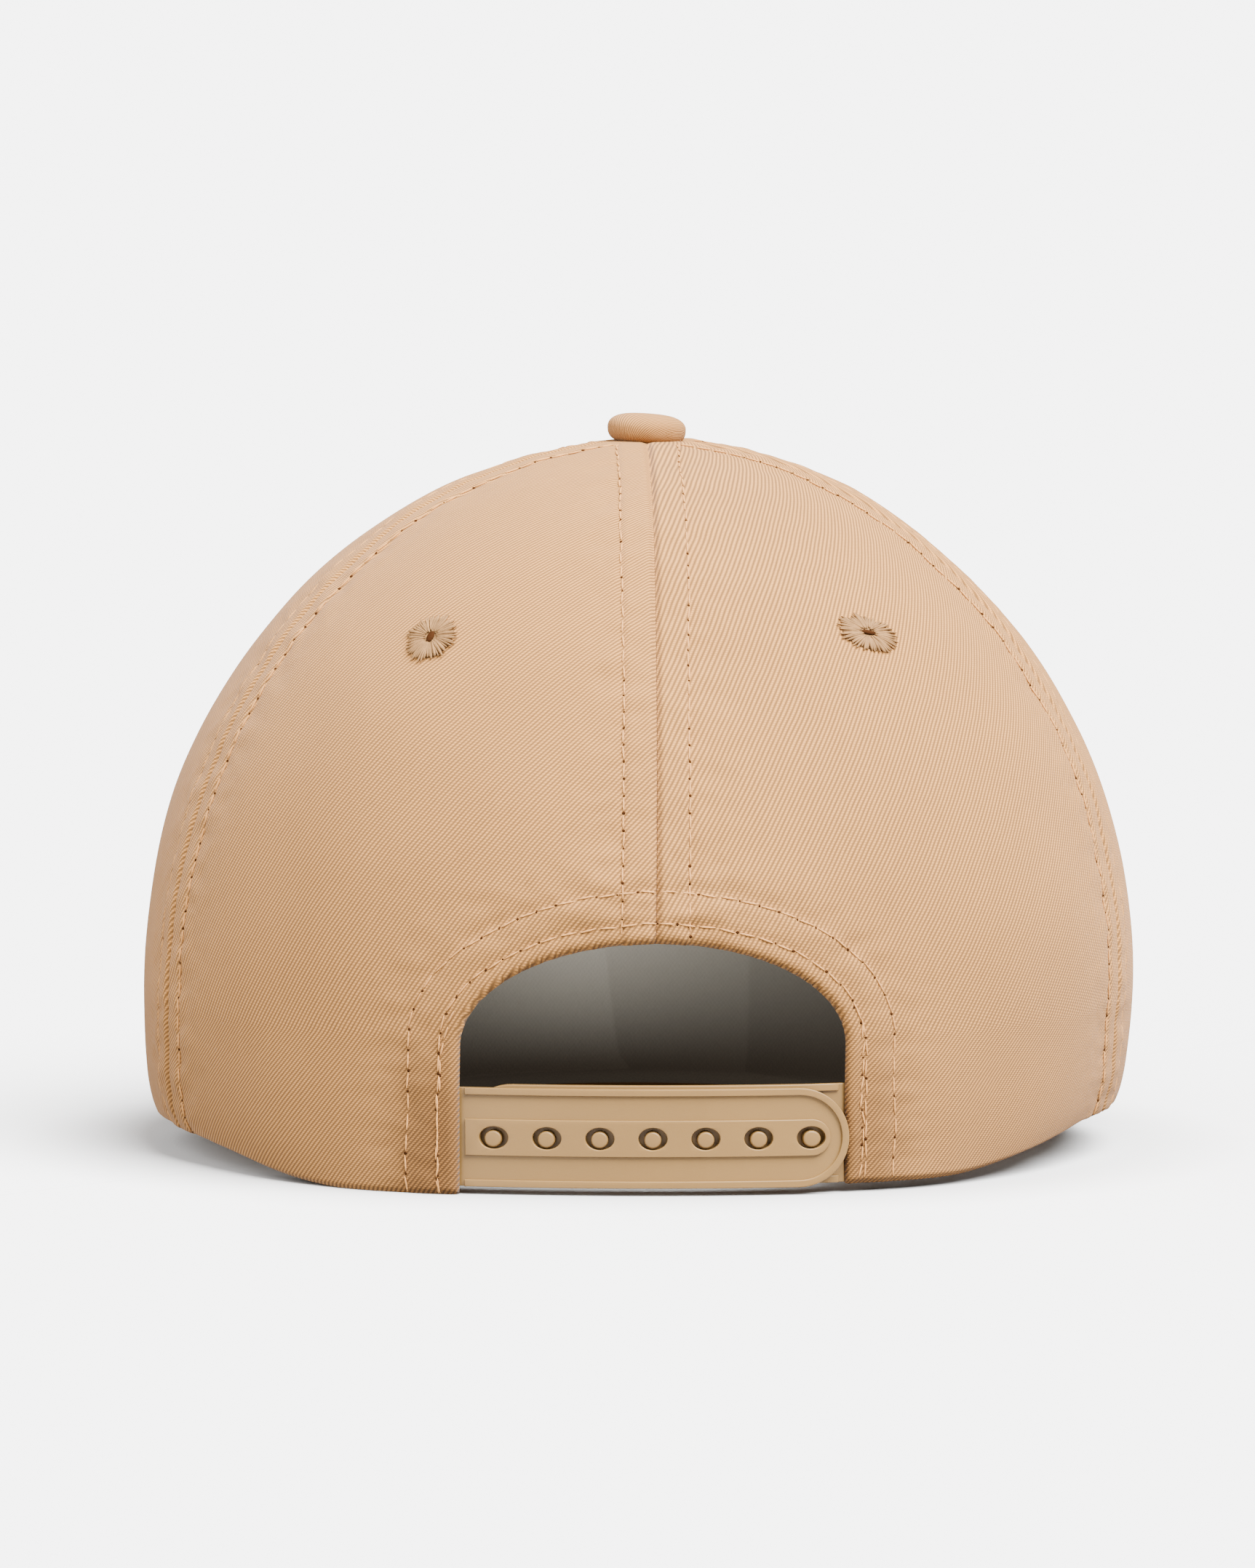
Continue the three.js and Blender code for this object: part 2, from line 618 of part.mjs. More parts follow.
addPiece("button_rivet", buttonRivet(), RIVET_METAL());
addPiece("eyelet_back_right", eyelet(PANEL_ANGLE / 2), THREAD());
addPiece("eyelet_back_left", eyelet(-PANEL_ANGLE / 2), THREAD());
addPiece("eyelet_side_right", eyelet(1.5 * PANEL_ANGLE), THREAD());
addPiece("eyelet_side_left", eyelet(-1.5 * PANEL_ANGLE), THREAD());
addPiece("visor_upper_cloth", visorLayer(0, VISOR_CLOTH, 0), TWILL());
addPiece("visor_board", visorLayer(BOARD_DEPTH, VISOR_BOARD, VISOR_CLOTH + FIT), BOARD_PLASTIC());
addPiece("visor_lower_cloth", visorLayer(LOWER_DEPTH, VISOR_CLOTH, 0), TWILL());
addPiece("hole_strap_root", strapRoot(-1, STRAP_BOTTOM), STRAP_PLASTIC());
addPiece("hole_strap", holeStrap(), STRAP_PLASTIC());
addPiece("peg_strap_root", strapRoot(1, STRAP_BOTTOM + PEG_STRAP_LIFT), STRAP_PLASTIC());
addPiece("peg_strap", pegStrap(), STRAP_PLASTIC());

// The origin is on the table, under the middle of the whole cap.
const extent = new THREE.Box3().setFromObject(cap);
cap.position.set(-(extent.min.x + extent.max.x) / 2, -(extent.min.y + extent.max.y) / 2, 0);

export default cap;
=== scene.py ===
"""Five-panel baseball cap with a snap strap, seen from behind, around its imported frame."""
import functools
import math
import random
import bmesh
import bpy
from mathutils import Matrix, Vector, noise
from mathutils.bvhtree import BVHTree
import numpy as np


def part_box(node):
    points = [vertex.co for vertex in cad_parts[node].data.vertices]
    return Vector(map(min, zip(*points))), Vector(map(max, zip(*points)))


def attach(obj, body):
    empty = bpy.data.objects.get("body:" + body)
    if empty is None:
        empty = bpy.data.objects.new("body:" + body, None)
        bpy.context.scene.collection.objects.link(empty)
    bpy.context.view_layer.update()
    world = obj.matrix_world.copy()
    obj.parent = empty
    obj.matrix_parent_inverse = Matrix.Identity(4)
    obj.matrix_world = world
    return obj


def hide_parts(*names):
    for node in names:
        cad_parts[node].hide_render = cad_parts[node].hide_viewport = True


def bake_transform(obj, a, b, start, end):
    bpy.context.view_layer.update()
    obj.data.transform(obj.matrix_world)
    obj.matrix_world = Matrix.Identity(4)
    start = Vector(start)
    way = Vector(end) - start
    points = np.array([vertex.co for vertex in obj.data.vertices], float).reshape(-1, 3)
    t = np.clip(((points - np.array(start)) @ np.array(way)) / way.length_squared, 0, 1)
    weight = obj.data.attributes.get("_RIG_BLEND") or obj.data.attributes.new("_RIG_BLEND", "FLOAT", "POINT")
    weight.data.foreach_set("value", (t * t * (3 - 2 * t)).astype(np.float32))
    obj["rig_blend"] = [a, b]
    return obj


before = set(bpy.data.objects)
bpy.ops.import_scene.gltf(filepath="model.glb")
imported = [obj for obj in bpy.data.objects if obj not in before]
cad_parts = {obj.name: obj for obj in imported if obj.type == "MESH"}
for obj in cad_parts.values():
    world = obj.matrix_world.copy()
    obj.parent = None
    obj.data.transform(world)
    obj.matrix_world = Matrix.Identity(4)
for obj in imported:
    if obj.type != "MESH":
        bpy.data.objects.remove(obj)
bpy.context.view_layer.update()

MM = 0.001
CROWN = "crown"
HOLE_ARM = "hole_strap_arm"
PEG_ARM = "peg_strap_arm"

# ---- Sizes of the cap, in millimetres --------------------

HALF_WIDTH = 98.0
BACK_REACH = 95.0
FRONT_REACH = 100.0
TOP = 140.0
WIDEST = 30.0
DOME_ROUNDNESS = 2.06
FRONT_ROUNDNESS = 2.3
DOME_STRETCH = 1.2
FRONT_TURN = (110, 180)
APEX_RADIUS = 3.5
PANEL_ANGLE = 72.0
CLOTH = 0.9
FIT = 0.3
LINING_DEPTH = CLOTH + FIT
BAND_DEPTH = 2.5
CENTRE_Y = (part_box("button_cover")[0][1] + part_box("button_cover")[1][1]) / 2 / MM
LEAN = 0.015
LEAN_START = 20.0

ARCH_HALF = 36.8
ARCH_SPRING = 28.5
ARCH_RISE = 20.0
ARCH_AREA = 0.5 * 74 * 44
ARCH_ZONE = 90.0
FAR_FROM_ARCH = 99.0

VISOR_START = 118.0
VISOR_RADIUS = 800.0
VISOR_SLOPE = math.tan(math.radians(2.1))
VISOR_CREASE = 8.4
VISOR_REACH = 72.0

STRAP_BOTTOM = 1.5
STRAP_HEIGHT = 19.0
STRAP_WEB = 1.0
STRAP_RIDGE = 0.6
RIM_WIDTH = 1.35
RIB_HEIGHT = 7.0
SNAP_PITCH = 10.0
SNAPS = [(i - 3) * SNAP_PITCH for i in range(7)]
FLEX_X = ARCH_HALF - FIT

SEAM_ROW = 6.1
ARCH_ROWS = (3.9, 9.7)

# The back of the crown lies flatter low down: depth, spread across, full up to and gone at these heights.
BACK_FLAT = (6.5, 32.0, 20.0, 62.0)

# The hem pulls in under the side panels: depth, height it fades over, and the span of azimuths.
HEM_PULL = 3.0
HEM_PULL_FADE = 5.0
HEM_PULL_SPAN = (30, 60, VISOR_START - 20, VISOR_START)

# The hem climbs onto the visor, its right rear corner lifts off the table and its left side sinks.
RIM_RISE = (36, 86)
CORNER_LIFT = 1.7
CORNER_SPAN = (8, 24, 60, 100)
LEFT_DROP = 1.6
LEFT_DROP_SPAN = (45, 80, 100, 130)


def mix(a, b, t):
    return a + (b - a) * t


def ease(a, b, x):
    t = min(max((x - a) / (b - a), 0.0), 1.0)
    return t * t * (3 - 2 * t)


def swell(x, start, full, fading, gone):
    """Goes from 0 up to 1 and back down to 0."""
    return ease(start, full, x) * (1 - ease(fading, gone, x))


def bump_of(x, width):
    return math.exp(-(x / width) ** 2)


# ---- Crown surface ---------------------------------------

def visor_height(x, y):
    drop = VISOR_RADIUS - math.sqrt(VISOR_RADIUS ** 2 - x * x)
    return VISOR_CREASE - VISOR_SLOPE * (y - FRONT_REACH) - drop


def from_back(azimuth):
    return abs((azimuth + 180) % 360 - 180)


@functools.lru_cache(maxsize=None)
def widest_point(azimuth):
    a = math.radians(azimuth)
    reach = BACK_REACH if math.cos(a) > 0 else FRONT_REACH
    return HALF_WIDTH * math.sin(a), -reach * math.cos(a)


@functools.lru_cache(maxsize=None)
def rim_height(azimuth):
    """Height of the hem above the table."""
    x, y = widest_point(azimuth)
    length = math.hypot(x, y)
    inner = (length - BAND_DEPTH) / length
    rise = ease(*RIM_RISE, from_back(azimuth)) * (visor_height(x * inner, y * inner) + FIT)
    signed = (azimuth + 180) % 360 - 180
    return rise + CORNER_LIFT * swell(signed, *CORNER_SPAN) - LEFT_DROP * swell(-signed, *LEFT_DROP_SPAN)


HEM_SHARE = WIDEST / (WIDEST + DOME_STRETCH * (TOP - WIDEST))


@functools.lru_cache(maxsize=None)
def meridian(azimuth):
    """What stays the same all the way up one meridian of the crown."""
    off = from_back(azimuth)
    power = 2 / mix(DOME_ROUNDNESS, FRONT_ROUNDNESS, ease(*FRONT_TURN, off))
    top = math.acos((APEX_RADIUS / HALF_WIDTH) ** (1 / power))
    pull = HEM_PULL * swell(off, *HEM_PULL_SPAN)
    wide = widest_point(azimuth)
    behind = math.cos(math.radians(azimuth)) > 0
    return wide, rim_height(azimuth), power, top, pull / math.hypot(*wide), behind


def crown_outer(azimuth, v):
    """Smooth outer surface in millimetres: v is 0 at the hem and 1 at the button."""
    (wx, wy), rim, power, top, pull, behind = meridian(azimuth)
    if v > HEM_SHARE:
        climb = (v - HEM_SHARE) / (1 - HEM_SHARE) * top
        scale, z = math.cos(climb) ** power, WIDEST + (TOP - WIDEST) * math.sin(climb) ** power
    else:
        scale, z = 1.0, mix(rim, WIDEST, v / HEM_SHARE)
    scale -= pull * math.exp(-(z - rim) / HEM_PULL_FADE)
    x, y = wx * scale, wy * scale
    depth, spread, full, gone = BACK_FLAT
    if behind and z < gone:
        y += depth * bump_of(x, spread) * (1 - ease(full, gone, z))
    return Vector((x, y, z))


def v_at_height(azimuth, height):
    """The share of the way up a meridian at which the crown reaches a height."""
    _, rim, power, top, _, _ = meridian(azimuth)
    if height < WIDEST:
        return max((height - rim) / (WIDEST - rim), 0.0) * HEM_SHARE
    climb = math.asin(min((height - WIDEST) / (TOP - WIDEST), 1.0) ** (1 / power))
    return HEM_SHARE + (1 - HEM_SHARE) * min(climb / top, 1.0)


def lean_at(z):
    """The crown leans a little towards its right, more towards the top."""
    return LEAN * max(z - LEAN_START, 0)


def leaned(p):
    return Vector((p.x + lean_at(p.z), p.y + CENTRE_Y, p.z))


def crown_point(azimuth, v, depth):
    """A point of the leaning crown at a depth under its smooth outer surface."""
    step = 1e-3
    across = crown_outer(azimuth + step, v) - crown_outer(azimuth - step, v)
    up = crown_outer(azimuth, min(v + step, 1)) - crown_outer(azimuth, max(v - step, 0))
    return leaned(crown_outer(azimuth, v) - across.cross(up).normalized() * depth)


def turning_point(low, high, is_before, halvings=20):
    """Where a test that holds at the low end stops holding."""
    for _ in range(halvings):
        middle = (low + high) / 2
        low, high = (middle, high) if is_before(middle) else (low, middle)
    return (low + high) / 2


@functools.lru_cache(maxsize=None)
def azimuth_at_x(x, height, depth=0.0):
    """The azimuth at which the back of the crown, or a sheet under it, reaches an x."""
    def short(a):
        v = v_at_height(a, height)
        if depth == 0:
            return crown_outer(a, v).x < abs(x)
        return crown_point(a, v, depth).x - lean_at(height) < abs(x)
    return math.copysign(turning_point(0, 90, short), x)


def arch_distance(x, z):
    """Distance outside the rear arch's edge, negative inside the opening."""
    if z < ARCH_SPRING:
        return abs(x) - ARCH_HALF
    up = z - ARCH_SPRING
    q = math.hypot(x / ARCH_HALF, up / ARCH_RISE)
    slope = math.hypot(x / ARCH_HALF ** 2, up / ARCH_RISE ** 2)
    return (q - 1) * q / max(slope, 1e-6)


def seam_distance(azimuth, middle, radius):
    """Distance in from a panel's nearer seam."""
    share = abs(azimuth - middle) / (PANEL_ANGLE / 2)
    return (1 - share) * math.radians(PANEL_ANGLE / 2) * radius


# Slow waves of the cloth over the whole crown: height, waves per millimetre and where the noise starts.
SOFT_WAVES = ((1.5, 0.016, (3.1, 0.4, 7.7)), (0.45, 0.045, (9.2, 5.1, 1.3)))

# Puckers and ripples stretch along the rows of stitches: waves per millimetre across and upwards.
PUCKER_WAVES = (0.12, 0.21)
RIPPLE_WAVES = (0.3, 0.42)

# Grooves and dents in the cloth: depth and width.
SEAM_GROOVE = (1.0, 0.75)
SEAM_ROW_DENT = (0.3, 0.7)
ARCH_ROW_DENT = (0.32, 0.7)

# Steps where the cloth lies double: height, and how far before and after the row it falls away.
SEAM_STEP = (0.38, 0.6, 0.8)
ARCH_STEP = (0.3, 0.5, 0.7)

# Gathering beside a row: height of the puckers, height of the ripples and spread.
SEAM_GATHER = (0.42, 0.25, 8.0)
ARCH_GATHER = (0.3, 0.22, 7.0)

# Edges that roll inwards: depth and how far in the roll reaches.
ARCH_ROLL = (1.0, 1.3)
HEM_ROLL = (0.9, 1.4)
ARCH_REACH = 40


def softness(p):
    return sum(height * noise.noise(p * rate + Vector(start)) for height, rate, start in SOFT_WAVES)


def stretched_noise(p, rates):
    across, upwards = rates
    return noise.noise(Vector((p.x * across, p.y * across, p.z * upwards)))


def groove(gap, size):
    depth, width = size
    return depth * bump_of(gap, width)


def double_cloth(gap, row, size):
    height, before, after = size
    return height * (1 - ease(row - before, row + after, gap))


def gathering(gap, pucker, ripple, size):
    pucker_height, ripple_height, spread = size
    return (pucker_height * pucker + ripple_height * ripple) * bump_of(gap, spread)


def rolled_edge(gap, size):
    depth, reach = size
    return depth * (1 - ease(0, reach, gap)) ** 2


def relief(p, seam, arch, rim):
    """How far the cloth stands out, in millimetres: seams, stitched rows, hem rolls and puckers."""
    pucker, ripple = stretched_noise(p, PUCKER_WAVES), stretched_noise(p, RIPPLE_WAVES)
    out = softness(p) + double_cloth(seam, SEAM_ROW, SEAM_STEP)
    out -= groove(seam, SEAM_GROOVE) + groove(seam - SEAM_ROW, SEAM_ROW_DENT)
    out += gathering(seam - SEAM_ROW, pucker, ripple, SEAM_GATHER)
    if arch < ARCH_REACH:
        inner, outer = ARCH_ROWS
        out += double_cloth(arch, outer, ARCH_STEP)
        out -= groove(arch - inner, ARCH_ROW_DENT) + groove(arch - outer, ARCH_ROW_DENT)
        out += gathering(arch - outer, pucker, ripple, ARCH_GATHER)
        out -= rolled_edge(arch, ARCH_ROLL)
    out -= rolled_edge(rim, HEM_ROLL)
    return out


# ---- Materials -------------------------------------------

# Places of the colour sockets among the Mix node's inputs and outputs.
MIX_COLOUR_A = 6
MIX_COLOUR_B = 7
MIX_COLOUR_RESULT = 2


def math_node(operation, swapped=False):
    """A Wire's method that adds a Math node, with the two values swapped for the reflected operators."""
    def apply(wire, other=0.0):
        values = {0: other, 1: wire} if swapped else {0: wire, 1: other}
        return wire.shade.node("ShaderNodeMath", {"operation": operation}, values)
    return apply


class Wire:
    """A number socket of a shader tree that adds Math nodes when it is used in an expression."""

    def __init__(self, shade, socket):
        self.shade, self.socket = shade, socket

    __add__, __radd__ = math_node("ADD"), math_node("ADD", True)
    __sub__, __rsub__ = math_node("SUBTRACT"), math_node("SUBTRACT", True)
    __mul__, __rmul__ = math_node("MULTIPLY"), math_node("MULTIPLY", True)
    __truediv__, __rtruediv__ = math_node("DIVIDE"), math_node("DIVIDE", True)
    __pow__ = math_node("POWER")
    sin = math_node("SINE")
    at_most = math_node("MINIMUM")
    at_least = math_node("MAXIMUM")


class Shade:
    """One material's tree: a Principled surface and a method that adds any other node."""

    def __init__(self, name, color, roughness, **sockets):
        self.material = bpy.data.materials.new(name)
        self.material.use_nodes = True
        self.tree = self.material.node_tree
        self.surface = self.tree.nodes["Principled BSDF"]
        self.surface.inputs["Base Color"].default_value = (*color, 1)
        self.surface.inputs["Roughness"].default_value = roughness
        for socket, value in sockets.items():
            self.surface.inputs[socket.replace("_", " ")].default_value = value

    def node(self, kind, settings=None, values=None, output=0):
        """Adds a node: its settings first, then the values or links of its sockets."""
        made = self.tree.nodes.new(kind)
        for key, value in (settings or {}).items():
            setattr(made, key, value)
        for key, value in (values or {}).items():
            if isinstance(value, Wire):
                self.tree.links.new(value.socket, made.inputs[key])
            else:
                made.inputs[key].default_value = value
        return Wire(self, made.outputs[output])

    def split(self, vector):
        made = self.tree.nodes.new("ShaderNodeSeparateXYZ")
        self.tree.links.new(vector.socket, made.inputs[0])
        return [Wire(self, made.outputs[i]) for i in range(3)]

    def join(self, x, y, z=0.0):
        return self.node("ShaderNodeCombineXYZ", {}, {0: x, 1: y, 2: z})

    def uv(self):
        return self.node("ShaderNodeTexCoord", {}, {}, "UV")

    def place(self):
        return self.node("ShaderNodeTexCoord", {}, {}, "Object")

    def noise(self, vector, scale, detail=2.0, roughness=0.5):
        values = {"Vector": vector, "Scale": scale, "Detail": detail, "Roughness": roughness}
        return self.node("ShaderNodeTexNoise", {"noise_dimensions": "3D"}, values, "Fac")

    def weave(self, pitch):
        """Over and under of a plain weave on the UV map, from 0 to 1."""
        u, v, _ = self.split(self.uv())
        turn = 2 * math.pi / pitch
        return ((u * turn).sin() * (v * turn).sin()) * 0.5 + 0.5

    def mix_colours(self, factor, a, b, blend_type="MIX"):
        a, b = (c if isinstance(c, Wire) else (*c, 1) for c in (a, b))
        settings = {"data_type": "RGBA", "blend_type": blend_type}
        values = {"Factor": factor, MIX_COLOUR_A: a, MIX_COLOUR_B: b}
        return self.node("ShaderNodeMix", settings, values, MIX_COLOUR_RESULT)

    def blend(self, factor, a, b):
        return self.mix_colours(factor, a, b)

    def tint(self, a, b):
        return self.mix_colours(1.0, a, b, "MULTIPLY")

    def feed(self, socket, wire):
        self.tree.links.new(wire.socket, self.surface.inputs[socket])

    def raise_surface(self, height, distance, strength=1.0):
        bump = {"Height": height, "Distance": distance, "Strength": strength}
        self.feed("Normal", self.node("ShaderNodeBump", {}, bump, "Normal"))


def shade_colour(color, factor):
    return tuple(c * factor for c in color)


TAN = (0.385, 0.178, 0.05)
WALE_PITCH = 0.00078
WALE_ANGLE = math.radians(53)


# The cloth of the crown: how its grooves, raised wales and places of painted shade stand to its plain
# colour.
GROOVE_TONE = 0.36
WALE_TONE = 1.27
YARN_TONES = ((0.86, 0.86, 0.86), (1.1, 1.1, 1.1))
PATCH_TONES = ((0.93, 0.92, 0.91), (1.06, 1.06, 1.06))
# The last two tones are for painted shade on the hem and the tabs: none, and full.
UNSHADED_TONE = (1.0, 1.0, 1.0)
PAINTED_SHADE_TONE = (0.42, 0.4, 0.38)
FLOAT_SLANT = 0.55
FLOAT_PITCH = 0.72 * WALE_PITCH


def ridges(across, pitch):
    return (across * (2 * math.pi / pitch)).sin() * 0.5 + 0.5


def twill(name, color, strength=0.7):
    """Cotton twill on a UV map in metres: diagonal wales, each cut into short slubby floats."""
    shade = Shade(name, color, 0.9, Sheen_Weight=0.06, Sheen_Roughness=0.5, Specular_IOR_Level=0.12)
    uv = shade.uv()
    u, v, _ = shade.split(uv)
    drift = (shade.noise(uv, 60.0, 2.0) - 0.5) * (WALE_PITCH * 0.9)
    cosine, sine = math.cos(WALE_ANGLE), math.sin(WALE_ANGLE)
    along = u * cosine + v * sine
    side = v * cosine - u * sine + drift
    cord = ridges(side, WALE_PITCH) * (ridges(along + side * FLOAT_SLANT, FLOAT_PITCH) * 0.42 + 0.58)
    fibre = shade.noise(shade.join(along * 900.0, side * 2600.0), 1.0, 3.0, 0.65)
    slub = shade.noise(shade.join(along * 160.0, side * 1150.0), 1.0, 2.0, 0.6)
    wales = shade.blend(cord, shade_colour(color, GROOVE_TONE), shade_colour(color, WALE_TONE))
    yarn = shade.blend((fibre * 0.6 + slub * 0.4 - 0.32) * 1.9, *YARN_TONES)
    patches_and_painted_shade = shade.blend(shade.noise(uv, 38.0, 3.0, 0.6), *PATCH_TONES)
    # Painted shade on the hem and the tabs, read from the panels' attribute, darkens the base colour.
    painted_shade_amount = shade.node("ShaderNodeAttribute", {"attribute_name": "painted_shade_amount"}, {}, "Fac")
    patches_and_painted_shade = shade.tint(patches_and_painted_shade, shade.blend(painted_shade_amount, UNSHADED_TONE, PAINTED_SHADE_TONE))
    shade.feed("Base Color", shade.tint(shade.tint(wales, yarn), patches_and_painted_shade))
    shade.raise_surface(cord * 0.8 + fibre * 0.35, 0.00022, strength)
    return shade.material


def thread_material(name, color, gloss=0.1, scale=2500.0, dark=0.78):
    shade = Shade(name, color, 0.7, Specular_IOR_Level=gloss)
    ply = shade.noise(shade.place(), scale, 2.0)
    shade.feed("Base Color", shade.blend(ply, shade_colour(color, dark), shade_colour(color, 1.2)))
    shade.raise_surface(ply, 0.0001, 0.5)
    return shade.material


def seam_tape_cloth():
    color, pitch = (0.34, 0.18, 0.08), 0.0007
    shade = Shade("seam_tape_weave", color, 0.9, Sheen_Weight=0.2)
    mixed = shade.weave(pitch) * 0.7 + shade.noise(shade.place(), 900.0, 3.0) * 0.3
    shade.feed("Base Color", shade.blend(mixed, shade_colour(color, 0.7), shade_colour(color, 1.1)))
    shade.raise_surface(mixed, pitch * 0.25, 0.5)
    return shade.material


def sweatband_cloth():
    """Pale woven band with painted shade: dark along its lower edge and towards the sides of the head,
    lightest at the top middle.
    """
    shade = Shade("sweatband_weave", (0.4, 0.38, 0.32), 0.92, Specular_IOR_Level=0.1)
    x, _, z = shade.split(shade.place())
    # Painted shade: darker towards the lower edge and away from the middle of the band.
    rise = ((z - 0.004) * 33.0).at_least(0.0).at_most(1.0)
    off_middle = x + 0.012
    aside = 1.0 / (off_middle * off_middle * 700.0 + 1.0)
    weave = shade.weave(0.0009)
    tone = shade.blend(rise ** 1.5 * aside, (0.045, 0.036, 0.026), (0.9, 0.87, 0.76))
    shade.feed("Base Color", shade.tint(tone, shade.blend(weave, (0.97, 0.97, 0.97), (1.02, 1.02, 1.02))))
    shade.raise_surface(weave, 0.0001, 0.2)
    return shade.material


def buckram_material():
    """Stiff pale cloth, darker towards the hem where the sweatband's shade lies on it."""
    color = (0.5, 0.48, 0.42)
    shade = Shade("front_buckram_cloth", color, 0.95)
    _, _, z = shade.split(shade.place())
    fall = ((z - 0.02) * 12.0).at_least(0.0).at_most(1.0)
    weave = shade.noise(shade.place(), 1200.0, 2.0)
    tone = shade.blend(fall, (0.1, 0.085, 0.065), color)
    shade.feed("Base Color", shade.blend(weave * 0.3, tone, shade_colour(color, 0.7)))
    shade.raise_surface(weave, 0.0002, 0.4)
    return shade.material


def moulded_plastic(name, color):
    shade = Shade(name, color, 0.42, Specular_IOR_Level=0.28, Subsurface_Weight=0.05)
    shade.surface.inputs["Subsurface Radius"].default_value = (0.004, 0.003, 0.0015)
    shade.surface.inputs["Subsurface Scale"].default_value = 0.3
    cloud = shade.noise(shade.place(), 120.0, 2.0)
    grain = shade.noise(shade.place(), 3500.0, 2.0)
    shade.feed("Base Color", shade.blend(cloud, shade_colour(color, 0.96), shade_colour(color, 1.04)))
    shade.feed("Roughness", cloud * 0.12 + 0.36)
    shade.raise_surface(grain, 0.00003, 0.4)
    return shade.material


def brushed_metal():
    shade = Shade("rivet_steel", (0.6, 0.6, 0.6), 0.35, Metallic=1.0)
    shade.feed("Roughness", shade.noise(shade.place(), 700.0, 2.0) * 0.2 + 0.28)
    return shade.material


TWILL = twill("tan_twill", TAN)
TAPE_CLOTH = seam_tape_cloth()
BAND_CLOTH = sweatband_cloth()
THREAD = thread_material("topstitch_thread", (0.4, 0.19, 0.062))
EYELET_THREAD = thread_material("eyelet_thread", (0.235, 0.125, 0.05), 0.05, 700.0, 0.4)
HOLE_DARK = thread_material("needle_hole_shadow", (0.03, 0.011, 0.004), 0.0)
PLASTIC = moulded_plastic("khaki_plastic", (0.155, 0.085, 0.024))
BUCKRAM = buckram_material()
BOARD = moulded_plastic("visor_board_plastic", (0.75, 0.72, 0.66))
STEEL = brushed_metal()


# ---- Building helpers ------------------------------------

def finish_piece(bm, name, material, body=CROWN, nodes=()):
    mesh = bpy.data.meshes.new(name)
    bm.to_mesh(mesh)
    bm.free()
    mesh.shade_smooth()
    mesh.materials.append(material)
    piece = bpy.data.objects.new(name, mesh)
    bpy.context.scene.collection.objects.link(piece)
    if body:
        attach(piece, body)
    if nodes:
        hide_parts(*nodes)
    return piece


def grid_sheet(columns, rows, place, uv_of):
    """A grid in unit coordinates, moved to place(s, t) in metres, with a UV map from uv_of(s, t)."""
    bm = bmesh.new()
    bmesh.ops.create_grid(bm, x_segments=columns, y_segments=rows, size=0.5)
    layer = bm.loops.layers.uv.new("cloth")
    # A layer for the painted shade of the cloth.
    bm.verts.layers.float.new("painted_shade_amount")
    flat = {}
    for vert in bm.verts:
        s, t = vert.co.x + 0.5, vert.co.y + 0.5
        flat[vert] = (uv_of(s, t), s, t)
        vert.co = place(s, t)
    for face in bm.faces:
        for loop in face.loops:
            loop[layer].uv = flat[loop.vert][0]
    bm.normal_update()
    return bm, flat


def add_thickness(piece, thickness):
    """Gives a sheet its thickness, in millimetres, to the inside of its outer face."""
    wall = piece.modifiers.new("cloth", "SOLIDIFY")
    wall.thickness, wall.offset = thickness * MM, -1.0
    wall.use_even_offset = False


def face_outwards(bm):
    """Turns a sheet's faces away from the middle of the crown."""
    sample = next(iter(bm.faces))
    if sample.normal.dot(sample.calc_center_median() - Vector((0, CENTRE_Y, 60)) * MM) < 0:
        bmesh.ops.reverse_faces(bm, faces=bm.faces)


# ---- Panels ----------------------------------------------

MERIDIAN = 193.0
GORE_COLUMNS = 132
GORE_ROWS = 210
GORE_TIP = 0.999
ROW_CROWDING = 1.25
SEAM_CROWDING = 0.7
WIDTH_LEVEL = 0.2

# Painted shade on the hem and on the tabs beside the arch, heavier on the left tab: strength and where it
# fades.
HEM_PAINTED_SHADE = 0.22
HEM_PAINTED_SHADE_FADE = (4, 34)
TAB_PAINTED_SHADE = {"left": 0.72, "right": 0.5}
TAB_PAINTED_SHADE_HEIGHT = 60
TAB_FADE_ACROSS = (5, 17)
TAB_FADE_UPWARDS = (14, 42)
APEX_FADE = (2, 14)


def crowded(t):
    """Places a column from -1 to 1, closer to the next one near both seams of a panel."""
    inner = 1 - abs(2 * t - 1)
    spread = 1 - mix(inner, inner * inner, SEAM_CROWDING)
    return math.copysign(spread, 2 * t - 1)


def gore_width(middle, v):
    p = crown_outer(middle, v)
    return math.radians(PANEL_ANGLE) * math.hypot(p.x, p.y)


def gore_area(middle, steps=60):
    return sum(gore_width(middle, (i + 0.5) / steps) for i in range(steps)) * MERIDIAN / steps * MM * MM


def painted_shade_at(x, z, arch, hem):
    """How much painted shade darkens a place on a panel, from 0 to 1."""
    dark = HEM_PAINTED_SHADE * (1 - ease(*HEM_PAINTED_SHADE_FADE, hem))
    if arch is not None and z < TAB_PAINTED_SHADE_HEIGHT:
        tab = (1 - ease(*TAB_FADE_ACROSS, max(arch, 0.0))) * (1 - ease(*TAB_FADE_UPWARDS, z))
        dark = min(dark + tab * TAB_PAINTED_SHADE["left" if x < 0 else "right"], 1.0)
    return dark


def panel_height(t):
    return GORE_TIP * t ** ROW_CROWDING


